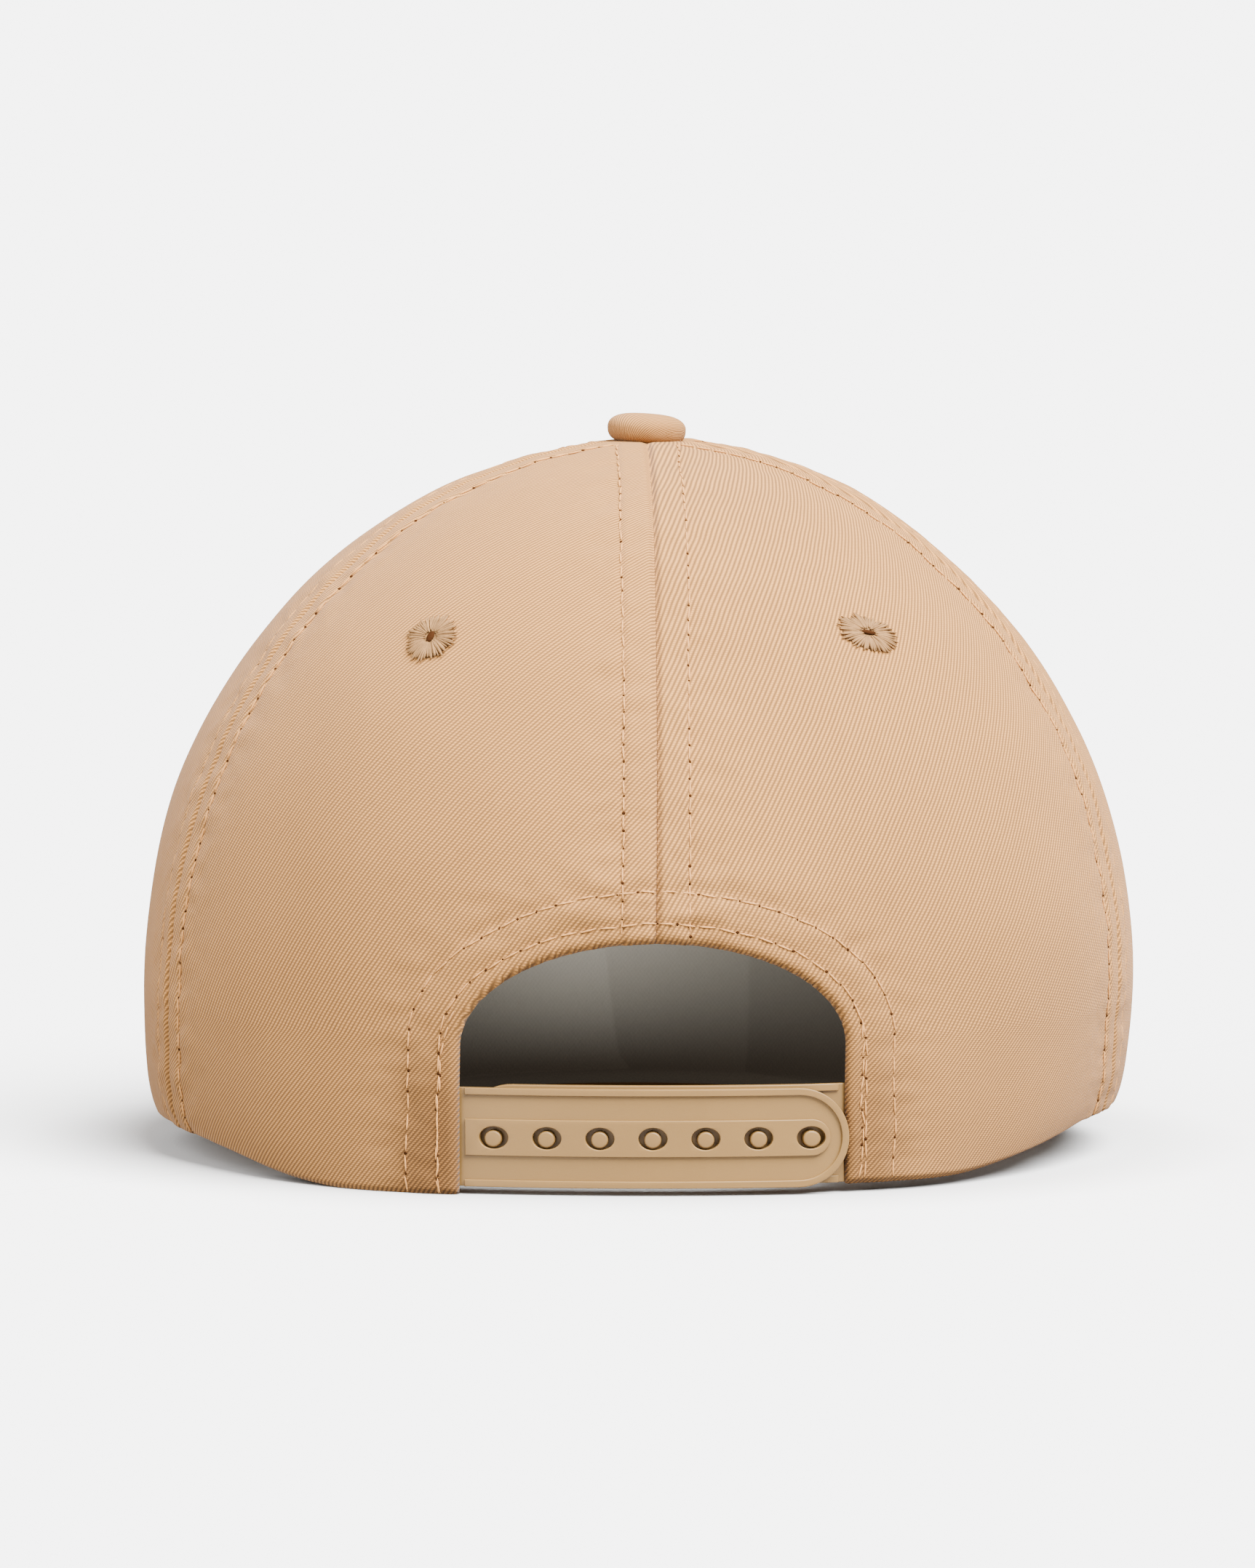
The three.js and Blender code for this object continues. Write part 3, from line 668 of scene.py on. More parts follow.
def build_panel(name, middle, has_arch):
    def on_crown(s, t):
        azimuth, v = middle + crowded(s) * PANEL_ANGLE / 2, panel_height(t)
        return azimuth, crown_outer(azimuth, v)

    def place(s, t):
        return leaned(on_crown(s, t)[1]) * MM

    def uv_of(s, t):
        v = panel_height(t)
        return Vector((crowded(s) * gore_width(middle, v) / 2 * MM, v * MERIDIAN * MM))

    bm, flat = grid_sheet(GORE_COLUMNS, GORE_ROWS, place, uv_of)
    face_outwards(bm)
    bm.normal_update()
    moves = {}
    painted_shade_amount = bm.verts.layers.float["painted_shade_amount"]
    for vert in bm.verts:
        azimuth, base = on_crown(*flat[vert][1:])
        radius = math.hypot(base.x, base.y)
        seam = seam_distance(azimuth, middle, radius)
        near_arch = has_arch and base.z < ARCH_ZONE
        arch = arch_distance(base.x, base.z) if near_arch else FAR_FROM_ARCH
        hem = base.z - rim_height(azimuth)
        # Painted shade of this place, stored for the cloth's colour.
        vert[painted_shade_amount] = painted_shade_at(base.x, base.z, arch if has_arch else None, hem)
        rise = relief(vert.co / MM, seam, max(arch, 0.0), hem) * ease(*APEX_FADE, radius)
        if arch < 0:
            rise = softness(vert.co / MM) - ARCH_ROLL[0]
        moves[vert] = vert.normal * rise * MM
    for vert, move in moves.items():
        vert.co += move
    if has_arch:
        cut_arch(bm)
    panel_skins.append(bm.copy())
    piece = finish_piece(bm, name + "_cloth", TWILL, nodes=(name,))
    add_thickness(piece, CLOTH)
    width, length = gore_width(middle, WIDTH_LEVEL) * MM, MERIDIAN * MM
    area = gore_area(middle) - (ARCH_AREA * MM * MM if has_arch else 0.0)


def arch_place(co):
    """The place of a crown point in the arch's own plane, without the crown's lean."""
    z = co.z / MM
    return co.x / MM - lean_at(z), z


def delete_loose(bm):
    for loose, context in ((bm.edges, "EDGES"), (bm.verts, "VERTS")):
        bmesh.ops.delete(bm, geom=[part for part in loose if not part.link_faces], context=context)


def cut_arch(bm):
    """Opens the rear arch: cells inside it go, and the ring left open is drawn onto the outline."""
    gone = [face for face in bm.faces if arch_distance(*arch_place(face.calc_center_median())) < 0]
    ring = {vert for face in gone for vert in face.verts}
    bmesh.ops.delete(bm, geom=gone, context="FACES_ONLY")
    for vert in ring:
        x, z = arch_place(vert.co)
        if z < ARCH_SPRING:
            x = math.copysign(ARCH_HALF, x)
        else:
            q = math.hypot(x / ARCH_HALF, (z - ARCH_SPRING) / ARCH_RISE)
            x, z = x / q, ARCH_SPRING + (z - ARCH_SPRING) / q
        vert.co.x, vert.co.z = (x + lean_at(z)) * MM, z * MM
    ring = [vert for vert in ring if vert.link_faces and abs(vert.co.x) > 1 * MM]
    bmesh.ops.remove_doubles(bm, verts=ring, dist=0.3 * MM)
    delete_loose(bm)


def joined_skin(skins):
    """The search tree of all the panels' outer faces."""
    whole = bmesh.new()
    for skin in skins:
        part = bpy.data.meshes.new("skin")
        skin.to_mesh(part)
        whole.from_mesh(part)
        skin.free()
        bpy.data.meshes.remove(part)
    return BVHTree.FromBMesh(whole)


PANELS = (("front_panel", 180, False), ("side_right_panel", 108, False), ("side_left_panel", -108, False),
          ("back_right_panel", 36, True), ("back_left_panel", -36, True))
panel_skins = []
for panel in PANELS:
    build_panel(*panel)
CROWN_TREE = joined_skin(panel_skins)


def on_cloth(azimuth, v):
    """The nearest point of the finished cloth to a place on the smooth crown, and its normal."""
    spot, normal, _, _ = CROWN_TREE.find_nearest(leaned(crown_outer(azimuth, v)) * MM)
    return spot, normal


# ---- Stitching -------------------------------------------

STITCH_WIDTH = 0.42
STITCH_SHARE = 0.8
STITCH_PROUD = 0.1
STITCH_WANDER = 0.12
HOLE_CHANCE = 0.72
HOLE_LENGTH = (0.2, 0.42)
HOLE_WIDTH = (0.2, 0.36)
HOLE_DEPTH = 0.14
SEAM_STITCH = 3.4
ARCH_STITCH = 3.9
BACKTACK_STITCH = 3.3
LYING_DOWN = Matrix.Rotation(math.pi / 2, 4, "Y")


class Pile:
    """Many small rounded shapes, gathered a few at a time into one mesh."""

    def __init__(self):
        self.all, self.few, self.count = bmesh.new(), bmesh.new(), 0

    def ball(self, matrix, rings=6):
        bmesh.ops.create_uvsphere(self.few, u_segments=6, v_segments=rings, radius=1.0, matrix=matrix)
        self.count += 1
        if self.count % 24 == 0:
            self.gather()

    def gather(self):
        mesh = bpy.data.meshes.new("few")
        self.few.to_mesh(mesh)
        self.all.from_mesh(mesh)
        bpy.data.meshes.remove(mesh)
        self.few.clear()
        return self.all


class Track:
    """A path of (point, normal) pairs that can be walked by distance."""

    def __init__(self, path):
        self.path, self.reach = path, [0.0]
        for (a, _), (b, _) in zip(path, path[1:]):
            self.reach.append(self.reach[-1] + (b - a).length)
        self.length = self.reach[-1]

    def at(self, share):
        path, reach = self.path, self.reach
        distance = min(max(self.length * share, 0.0), self.length - 1e-9)
        i = next(k for k in range(len(reach) - 1) if reach[k + 1] > distance)
        t = (distance - reach[i]) / (reach[i + 1] - reach[i])
        return path[i][0].lerp(path[i + 1][0], t), path[i][1].lerp(path[i + 1][1], t).normalized()


def stitch_row(threads, holes, path, length, dice, wander=STITCH_WANDER, thickness=STITCH_WIDTH):
    """Lays stitches of one length along a path, with a needle hole between most of them."""
    track = Track(path)
    count = max(int(track.length / (length * MM)), 1)
    margin = (1 - STITCH_SHARE) / 2
    for k in range(count):
        start, _ = track.at((k + margin) / count)
        end, _ = track.at((k + 1 - margin) / count)
        middle, normal = track.at((k + 0.5) / count)
        run = end - start
        if run.length < 1e-6:
            continue
        side = normal.cross(run).normalized()
        run = run + side * dice.uniform(-wander, wander) * MM * 2
        side = normal.cross(run).normalized()
        up = run.cross(side).normalized()
        size = Matrix.Diagonal((run.length / 2 * 1.04, thickness / 2 * MM, thickness / 2 * MM, 1))
        turn = Matrix((run.normalized(), side, up)).transposed().to_4x4()
        spot = middle + normal * STITCH_PROUD * MM + side * dice.uniform(-wander, wander) * MM
        threads.ball(Matrix.Translation(spot) @ turn @ size @ LYING_DOWN)
        if holes is not None and dice.random() < HOLE_CHANCE:
            hole, hole_normal = track.at(k / count)
            size = (dice.uniform(*HOLE_LENGTH) * MM, dice.uniform(*HOLE_WIDTH) * MM, HOLE_DEPTH * MM, 1)
            face = hole_normal.to_track_quat("Z", "Y").to_matrix().to_4x4()
            holes.ball(Matrix.Translation(hole) @ face @ Matrix.Diagonal(size), rings=4)


def seam_path(seam, side, points=140):
    """Beside one seam, from the hem or the arch up to the button."""
    low = v_at_height(0, ARCH_SPRING + ARCH_RISE + 1.0) if seam == 0 else 0.0
    path = []
    for i in range(points):
        v = mix(low + 0.002, 0.965, i / (points - 1))
        p = crown_outer(seam, v)
        offset = math.degrees(SEAM_ROW / math.hypot(p.x, p.y))
        path.append(on_cloth(seam + side * min(offset, PANEL_ANGLE / 2 - 2), v))
    return path


def seam_rows(threads, holes, dice):
    for seam in (0, 72, 144, -72, -144):
        for side in (-1, 1):
            stitch_row(threads, holes, seam_path(seam, side), SEAM_STITCH, dice)


def arch_path(gap, wobble):
    """Round the arch at a distance from its edge, from the left hem over to the right hem."""
    half, rise = ARCH_HALF + gap, ARCH_RISE + gap
    up, over = 22, 70
    points = [(-half, mix(0.6, ARCH_SPRING, i / up)) for i in range(up)]
    for i in range(over + 1):
        a = math.pi * (1 - i / over)
        points.append((half * math.cos(a), ARCH_SPRING + rise * math.sin(a)))
    points += [(half, mix(ARCH_SPRING, 2.2, i / up)) for i in range(1, up + 1)]
    path = []
    for x, z in points:
        drift = wobble * noise.noise(Vector((x * 0.06, z * 0.06, gap)))
        azimuth = azimuth_at_x(abs(x) + 1e-3, z)
        path.append(on_cloth(math.copysign(azimuth, x) + drift, v_at_height(azimuth, z)))
    return path


def arch_rows(threads, holes, dice):
    """Two rows round the arch, and a second pass of the inner row on both tabs."""
    for gap, wobble in zip(ARCH_ROWS, (0.35, 0.5)):
        stitch_row(threads, holes, arch_path(gap, wobble), ARCH_STITCH, dice)
    inner = arch_path(ARCH_ROWS[0] - 0.7, 1.0)
    for tab in (inner[:30], inner[-30:]):
        stitch_row(threads, holes, tab, BACKTACK_STITCH, dice, 0.3)


def sew(name, lay_rows):
    threads, holes = Pile(), Pile()
    lay_rows(threads, holes, random.Random(11))
    finish_piece(threads.gather(), name + "_topstitching", THREAD)
    finish_piece(holes.gather(), name + "_needle_holes", HOLE_DARK)


sew("seam", seam_rows)
sew("arch", arch_rows)


# ---- Eyelets ---------------------------------------------

EYELET_STITCHES = 64
EYELET_INNER = 1.0
EYELET_OUTER = 5.5


def eyelet_stitch(dice, k):
    """The matrix that lays one satin stitch from the hole outwards."""
    turn = 2 * math.pi * (k + dice.uniform(-0.4, 0.4)) / EYELET_STITCHES
    inner = EYELET_INNER + dice.uniform(-0.1, 0.5)
    outer = EYELET_OUTER + dice.uniform(-0.8, 0.5)
    size = Matrix.Diagonal(((outer - inner) / 2 * MM, dice.uniform(0.2, 0.3) * MM, 0.36 * MM, 1))
    spot = Vector(((inner + outer) / 2, 0, 0.3 + dice.uniform(-0.1, 0.15))) * MM
    skew = Matrix.Rotation(dice.uniform(-0.09, 0.09), 4, "Z") @ Matrix.Rotation(0.07, 4, "Y")
    return Matrix.Rotation(turn, 4, "Z") @ Matrix.Translation(spot) @ skew @ size @ LYING_DOWN


def build_eyelet(name, middle, height, squash, turn, hole_size, dice):
    """A ring of radial satin stitches with a small hole."""
    centre, normal = on_cloth(middle, v_at_height(middle, height))
    right = Vector((0, 0, 1)).cross(normal).normalized()
    basis = Matrix((right, normal.cross(right), normal)).transposed().to_4x4()
    seat = Matrix.Translation(centre) @ basis @ Matrix.Rotation(turn, 4, "Z")
    oval = seat @ Matrix.Diagonal((*squash, 1, 1))
    bm = bmesh.new()
    for k in range(EYELET_STITCHES):
        stitch = oval @ eyelet_stitch(dice, k)
        bmesh.ops.create_uvsphere(bm, u_segments=6, v_segments=6, radius=1.0, matrix=stitch)
    bmesh.ops.create_cone(bm, cap_ends=True, segments=40, radius1=4.6 * MM, radius2=3.4 * MM, depth=0.3 * MM,
                          matrix=oval @ Matrix.Translation((0, 0, 0.1 * MM)))
    finish_piece(bm, name + "_thread", EYELET_THREAD, nodes=(name,))
    dark = bmesh.new()
    flat = Matrix.Diagonal((hole_size[0] * MM, hole_size[1] * MM, 0.32 * MM, 1))
    hole = Matrix.Translation((0, 0, 0.5 * MM)) @ flat
    bmesh.ops.create_uvsphere(dark, u_segments=16, v_segments=8, radius=1.0, matrix=seat @ hole)
    finish_piece(dark, name + "_hole", HOLE_DARK)


# Each eyelet: azimuth, height, its oval, its turn and its hole.
EYELETS = {
    "eyelet_back_left": (-35.3, 104.2, (1.03, 1.03), 0.0, (0.8, 1.3)),
    "eyelet_back_right": (35.0, 105.6, (1.25, 0.82), -0.25, (1.6, 0.5)),
    "eyelet_side_left": (-108, 106, (1.0, 0.95), 0.3, (0.9, 0.9)),
    "eyelet_side_right": (108, 106, (1.05, 0.95), 0.1, (0.9, 0.9)),
}
eyelet_dice = random.Random(5)
for eyelet_name, eyelet in EYELETS.items():
    build_eyelet(eyelet_name, *eyelet, eyelet_dice)


# ---- Button ----------------------------------------------

BUTTON_SINK = 1.0
BUTTON_LEAN_HEIGHT = 120
BUTTON_TILT = math.radians(4)


def button_shape(co, radius, height):
    """Turns a point of a unit ball into the button: a flat dome over a nearly straight side."""
    ring = co.xy.length
    direction = co.xy.normalized() if ring > 1e-6 else Vector((0, 0))
    spread = ring ** (0.62 if co.z > 0 else 0.3) if ring > 1e-6 else 0.0
    wrinkle = 1 + 0.012 * math.sin(9 * math.atan2(co.y, co.x) + 1.0) * max(-co.z, 0)
    z = height * (0.5 + 0.5 * math.copysign(abs(co.z) ** 0.9, co.z))
    return Vector((*(direction * spread * radius * wrinkle), z))


def build_button():
    low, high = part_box("button_cover")
    radius, height = (high[0] - low[0]) / 2, high[2] - low[2]
    centre = Vector((LEAN * BUTTON_LEAN_HEIGHT * MM, CENTRE_Y * MM, low[2] - BUTTON_SINK * MM))
    bm = bmesh.new()
    bmesh.ops.create_uvsphere(bm, u_segments=72, v_segments=40, radius=1.0)
    layer = bm.loops.layers.uv.new("cloth")
    for face in bm.faces:
        for loop in face.loops:
            co = loop.vert.co
            polar = math.acos(max(min(co.z, 1), -1))
            direction = co.xy.normalized() if co.xy.length > 1e-6 else Vector((0, 0))
            loop[layer].uv = direction * polar * radius * 1.1
    for vert in bm.verts:
        vert.co = button_shape(vert.co, radius, height)
    seat = Matrix.Translation(centre) @ Matrix.Rotation(BUTTON_TILT, 4, "Y")
    bmesh.ops.transform(bm, matrix=seat, verts=bm.verts)
    finish_piece(bm, "button_cover_cloth", twill("button_twill", TAN, 0.8), nodes=("button_cover",))


build_button()


# ---- Lining ----------------------------------------------

def lining_strip(name, place, uv_size, cells, material, thickness):
    """A strip of lining: its UV map's flat size in metres, and its cells across and along."""
    width, length = uv_size
    bm, _ = grid_sheet(*cells, place, lambda s, t: Vector((s * width, t * length)))
    bmesh.ops.recalc_face_normals(bm, faces=bm.faces)
    face_outwards(bm)
    piece = finish_piece(bm, name + "_cloth", material, nodes=(name,))
    add_thickness(piece, thickness)


TAPE_HALF_WIDTH = 8.0
TAPE_TOP = 0.985
TAPE_PUFF = 0.35
TAPE_DEPTH = LINING_DEPTH + 1.4
BACK_TAPE_HEIGHT = 59


def tape_half_angle(seam, v):
    p = crown_outer(seam, v)
    radius = math.hypot(p.x, p.y) - LINING_DEPTH
    return min(math.degrees(TAPE_HALF_WIDTH / radius), PANEL_ANGLE / 2 - math.degrees(FIT / radius))


def build_tape(name, seam):
    low = v_at_height(0, BACK_TAPE_HEIGHT) if seam == 0 else 0.004

    def place(s, t):
        v = mix(low, TAPE_TOP, t)
        azimuth = seam + (2 * s - 1) * tape_half_angle(seam, v)
        puff = TAPE_PUFF * math.cos((2 * s - 1) * math.pi / 2)
        return crown_point(azimuth, v, TAPE_DEPTH + puff) * MM

    lining_strip(name, place, (0.016, 0.19), (10, 90), TAPE_CLOTH, 0.6)


TAPES = {"seam_tape_back": 0, "seam_tape_rear_right": 72, "seam_tape_rear_left": -72,
         "seam_tape_front_right": 144, "seam_tape_front_left": -144}
for tape, tape_seam in TAPES.items():
    build_tape(tape, tape_seam)


BUCKRAM_SPAN = (0.01, 0.86)
BUCKRAM_DEPTH = LINING_DEPTH + 1.3
BUCKRAM_GAP = 0.6
FRONT_SEAM = 144


def buckram_place(s, t):
    """Between the tapes of the front panel's two seams."""
    v = mix(*BUCKRAM_SPAN, t)
    p = crown_outer(FRONT_SEAM, v)
    gap = tape_half_angle(FRONT_SEAM, v) + math.degrees(BUCKRAM_GAP / math.hypot(p.x, p.y))
    return crown_point(180 + (2 * s - 1) * (PANEL_ANGLE / 2 - gap), v, BUCKRAM_DEPTH) * MM


lining_strip("front_buckram", buckram_place, (0.1, 0.16), (40, 60), BUCKRAM, 0.8)

BAND_START = azimuth_at_x(ARCH_HALF + 5, 0.5)
BAND_WIDTH = 32
BAND_TUCK = 8.2
BAND_TUCK_SPAN = (100, 125)
BAND_INSET = BAND_DEPTH + 1.4


def band_place(s, t):
    """From one side of the arch round the head to the other, reaching lower over the visor."""
    azimuth = mix(BAND_START, 360 - BAND_START, s)
    tucked = BAND_TUCK * ease(*BAND_TUCK_SPAN, from_back(azimuth))
    height = rim_height(azimuth) + 0.5 - tucked + (BAND_WIDTH + tucked) * t
    puff = 0.5 * math.sin(math.pi * t) ** 0.5
    place = crown_point(azimuth, v_at_height(azimuth, height), BAND_INSET - puff * 0.4)
    place.z -= max(rim_height(azimuth) - height, 0.0)
    return place * MM


lining_strip("sweatband", band_place, (0.5, 0.032), (180, 14), BAND_CLOTH, 2.0)

FACING_EDGES = (0.9, 10)
FACING_FOOT = 22.5


def facing_place(s, t):
    """A tape along the inside of the arch's edge, its two ends drawn down beside the tabs."""
    a = math.pi * (1 - s)
    gap = mix(*FACING_EDGES, t)
    x, z = (ARCH_HALF + gap) * math.cos(a), ARCH_SPRING + (ARCH_RISE + gap) * math.sin(a)
    if s < 0.02 or s > 0.98:
        z = FACING_FOOT
    azimuth = azimuth_at_x(abs(x) + 1e-4, z)
    return crown_point(math.copysign(azimuth, x), v_at_height(azimuth, z), LINING_DEPTH + 0.2) * MM


lining_strip("arch_facing", facing_place, (0.12, 0.01), (60, 8), TWILL, 0.6)


# ---- Visor -----------------------------------------------

VISOR_FOOT = 2.0
VISOR_SIDE_PULL = Vector((16, 49))
VISOR_FRONT_PULL = 62
VISOR_ROWS = 6
VISOR_ROW_GAP = 8.5
VISOR_FIRST_ROW = 4
VISOR_STITCH = 3.6
VISOR_STITCH_WIDTH = 0.4
VISOR_ROW_DENT = (0.25, 0.9)
VISOR_EDGE_ROLL = (0.7, 1.6)
VISOR_CLOTH = 0.6
BOARD_DEPTH = 0.9
BOARD_THICKNESS = 1.8
LOWER_CLOTH_DEPTH = 3.0


def visor_edge(t):
    """The outer edge in plan: one Bezier curve from the foot of the visor to its front, mirrored."""
    end = crown_outer(VISOR_START, 0)
    foot = Vector((end.x, end.y)) * (1 + VISOR_FOOT / math.hypot(end.x, end.y))
    front = FRONT_REACH + VISOR_REACH
    a, b, c, d = foot, foot + VISOR_SIDE_PULL, Vector((VISOR_FRONT_PULL, front)), Vector((0, front))
    k = 1 - abs(t)
    p = a * (1 - k) ** 3 + b * 3 * k * (1 - k) ** 2 + c * 3 * k * k * (1 - k) + d * k ** 3
    return Vector((math.copysign(p.x, t), p.y))


def visor_plan(s, t, trim=0.0):
    """Plan place of a visor point: t from -1 to 1 across, s from the crown to the front edge."""
    azimuth = 180 - t * (180 - VISOR_START)
    wx, wy = crown_outer(azimuth, 0).xy
    shrink = 1 - (BAND_DEPTH - FIT) / math.hypot(wx, wy)
    inner = Vector((wx, wy)) * shrink
    outer = visor_edge(t)
    reach = outer - inner
    return inner + reach * (1 - trim / reach.length) * s, reach.length


def visor_layer(name, depth, thickness, material, trim=0.0, stitched=0):
    """One layer of the visor: stitched is 1 for rows that sink from above and -1 from below."""
    def place(s, t):
        across = mix(2 * s - 1, math.sin((2 * s - 1) * math.pi / 2), 0.25)
        p, reach = visor_plan(t, across, trim)
        z = visor_height(p.x, p.y) - depth
        edge_gap = (1 - t) * reach
        if stitched:
            rows = (VISOR_FIRST_ROW + k * VISOR_ROW_GAP for k in range(VISOR_ROWS))
            z -= stitched * sum(groove(edge_gap - row, VISOR_ROW_DENT) for row in rows)
            z -= stitched * rolled_edge(edge_gap, VISOR_EDGE_ROLL)
        return Vector((p.x, p.y + CENTRE_Y, z)) * MM

    bm, _ = grid_sheet(150, 84, place, lambda s, t: place(s, t).xy)
    piece = finish_piece(bm, name + "_shape", material, nodes=(name,))
    add_thickness(piece, thickness)
    return piece


UPPER = visor_layer("visor_upper_cloth", 0.0, VISOR_CLOTH, TWILL, stitched=1)
LOWER = visor_layer("visor_lower_cloth", LOWER_CLOTH_DEPTH, VISOR_CLOTH, TWILL, stitched=-1)
visor_layer("visor_board", BOARD_DEPTH, BOARD_THICKNESS, BOARD, trim=0.9)


def visor_row_path(gap, depth, sign, steps=120):
    """Along the visor at a distance from its front edge, where the visor is wide enough."""
    path = []
    for i in range(steps + 1):
        t = mix(-0.985, 0.985, i / steps)
        _, reach = visor_plan(1, t)
        if gap > reach - 3:
            continue
        p, _ = visor_plan(1 - gap / reach, t)
        z = visor_height(p.x, p.y) - depth - sign * 0.12
        path.append((Vector((p.x, p.y + CENTRE_Y, z)) * MM, Vector((0, 0, sign))))
    return path


def visor_rows(dice):
    threads = Pile()
    for depth, sign in ((0.0, 1), (LOWER_CLOTH_DEPTH + VISOR_CLOTH, -1)):
        for k in range(VISOR_ROWS):
            path = visor_row_path(VISOR_FIRST_ROW + k * VISOR_ROW_GAP, depth, sign)
            if len(path) > 2:
                stitch_row(threads, None, path, VISOR_STITCH, dice, 0.05, VISOR_STITCH_WIDTH)
    finish_piece(threads.gather(), "visor_topstitching", THREAD)


visor_rows(random.Random(3))


# ---- Snap straps -----------------------------------------

STRAP_MIDDLE = STRAP_BOTTOM + STRAP_HEIGHT / 2
STRAP_BOW = 4.0
ROOT_LENGTH = 15.0
STRAP_TUCK = 6
HOLE_STRAP_END = ARCH_HALF + 0.5
RIM_START = ARCH_HALF - 1.3
RIB_MARGIN = 3.6
RIDGE_ROOT = 0.5
WEB_EDGE = 0.18
RIDGE_EDGE = 0.16
FLEX_ZONE = 0.8
SNAP_HOLE = (5.5, 4.3)
PEG_LIFT = 0.5
PEG_SETTLE = 0.25
PEG_RECESS = 0.2
PEG_FOOT_RADIUS = 1.68
PEG_RADIUS = 1.6
PEG_ROLL = 0.42
ARC_STEPS = 28


def y_under_cloth(x, depth):
    """Where a sheet at a depth under the crown's outer surface passes an x at the strap's middle height."""
    azimuth = azimuth_at_x(x, STRAP_MIDDLE, depth)
    return crown_point(azimuth, v_at_height(azimuth, STRAP_MIDDLE), depth).y


ROOT_INNER_Y = y_under_cloth(FLEX_X, LINING_DEPTH + STRAP_WEB)
ROOT_OUTER_Y = y_under_cloth(FLEX_X, LINING_DEPTH)
OUTSIDE_Y = y_under_cloth(FLEX_X, -FIT)


@functools.lru_cache(maxsize=None)
def hole_strap_inner(x):
    t = (x + FLEX_X) / (2 * FLEX_X)
    if t < 0:
        return y_under_cloth(x, LINING_DEPTH + STRAP_WEB)
    return mix(ROOT_INNER_Y, OUTSIDE_Y, t) - STRAP_BOW * 4 * t * (1 - t)


@functools.lru_cache(maxsize=None)
def peg_strap_outer(x):
    if x > FLEX_X:
        return y_under_cloth(x, LINING_DEPTH)
    apart = STRAP_RIDGE + FIT
    tucked = ease(FLEX_X - STRAP_TUCK, FLEX_X, x)
    return hole_strap_inner(x) + apart + tucked * (ROOT_OUTER_Y - OUTSIDE_Y - apart)


def outline(curve, points):
    spline = curve.splines.new("POLY")
    spline.points.add(len(points) - 1)
    for point, (x, y) in zip(spline.points, points):
        point.co = (x, y, 0, 1)
    spline.use_cyclic_u = True


def strip_points(x_square, x_round, middle, height):
    """A strip with a square end at one x and a round end at the other."""
    radius, side = height / 2, math.copysign(1, x_round - x_square)
    centre = x_round - side * radius
    turns = (math.radians(-90 + 180 * i / ARC_STEPS) for i in range(ARC_STEPS + 1))
    arc = [(centre + side * radius * math.cos(a), middle + radius * math.sin(a)) for a in turns]
    return [(x_square, middle - radius)] + arc + [(x_square, middle + radius)]


def oval_points(x, z, width, height):
    turns = (2 * math.pi * i / ARC_STEPS for i in range(ARC_STEPS))
    return [(x + width / 2 * math.cos(a), z + height / 2 * math.sin(a)) for a in turns]


def plate(outlines, near, far, bevel):
    """A flat plate with holes, as loose mesh data in millimetres: x, z in plan and y as its depth."""
    curve = bpy.data.curves.new("plate", "CURVE")
    curve.dimensions, curve.fill_mode = "2D", "BOTH"
    for points in outlines:
        outline(curve, points)
    curve.extrude = (far - near) / 2 - bevel
    curve.bevel_depth, curve.bevel_resolution = bevel, 2
    curve.offset = -bevel
    holder = bpy.data.objects.new("plate", curve)
    bpy.context.scene.collection.objects.link(holder)
    mesh = bpy.data.meshes.new_from_object(holder.evaluated_get(bpy.context.evaluated_depsgraph_get()))
    bpy.data.objects.remove(holder)
    bpy.data.curves.remove(curve)
    middle = (near + far) / 2
    mesh.transform(Matrix(((1, 0, 0, 0), (0, 0, 1, middle), (0, 1, 0, 0), (0, 0, 0, 1))))
    return mesh


def rim_outline(x_start, x_end, middle):
    side = math.copysign(1, x_end - x_start)
    outer = strip_points(x_start, x_end, middle, STRAP_HEIGHT)
    inner = strip_points(x_start, x_end - side * RIM_WIDTH, middle, STRAP_HEIGHT - 2 * RIM_WIDTH)
    return outer + inner[::-1]


def bend_strap(bm, face, cuts=44):
    """Cuts the flat strap along its length and bends it, so that depth 0 lies on the given face."""
    low, high = min(v.co.x for v in bm.verts), max(v.co.x for v in bm.verts)
    for i in range(1, cuts):
        spot = (mix(low, high, i / cuts), 0, 0)
        geometry = bm.verts[:] + bm.edges[:] + bm.faces[:]
        bmesh.ops.bisect_plane(bm, geom=geometry, dist=1e-5, plane_co=spot, plane_no=(1, 0, 0))
    for vert in bm.verts:
        x, depth = vert.co.x, vert.co.y
        tangent = Vector((2.0, face(x + 1) - face(x - 1))).normalized()
        vert.co = Vector((x - tangent.y * depth, face(x) + tangent.x * depth, vert.co.z)) * MM


def strap_piece(name, meshes, face, arm, flex, y, z):
    """One moulding for a strap and its root, which bends between the two x of flex."""
    bm = bmesh.new()
    for mesh in meshes:
        bm.from_mesh(mesh)
        bpy.data.meshes.remove(mesh)
    bmesh.ops.remove_doubles(bm, verts=bm.verts, dist=1e-4)
    bend_strap(bm, face)
    bmesh.ops.recalc_face_normals(bm, faces=bm.faces)
    piece = finish_piece(bm, name + "_moulding", PLASTIC, body=None, nodes=(name, name + "_root"))
    piece.data.set_sharp_from_angle(angle=math.radians(35))
    start, end = ((x * MM, y * MM, z * MM) for x in flex)
    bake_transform(piece, CROWN, arm, start=start, end=end)


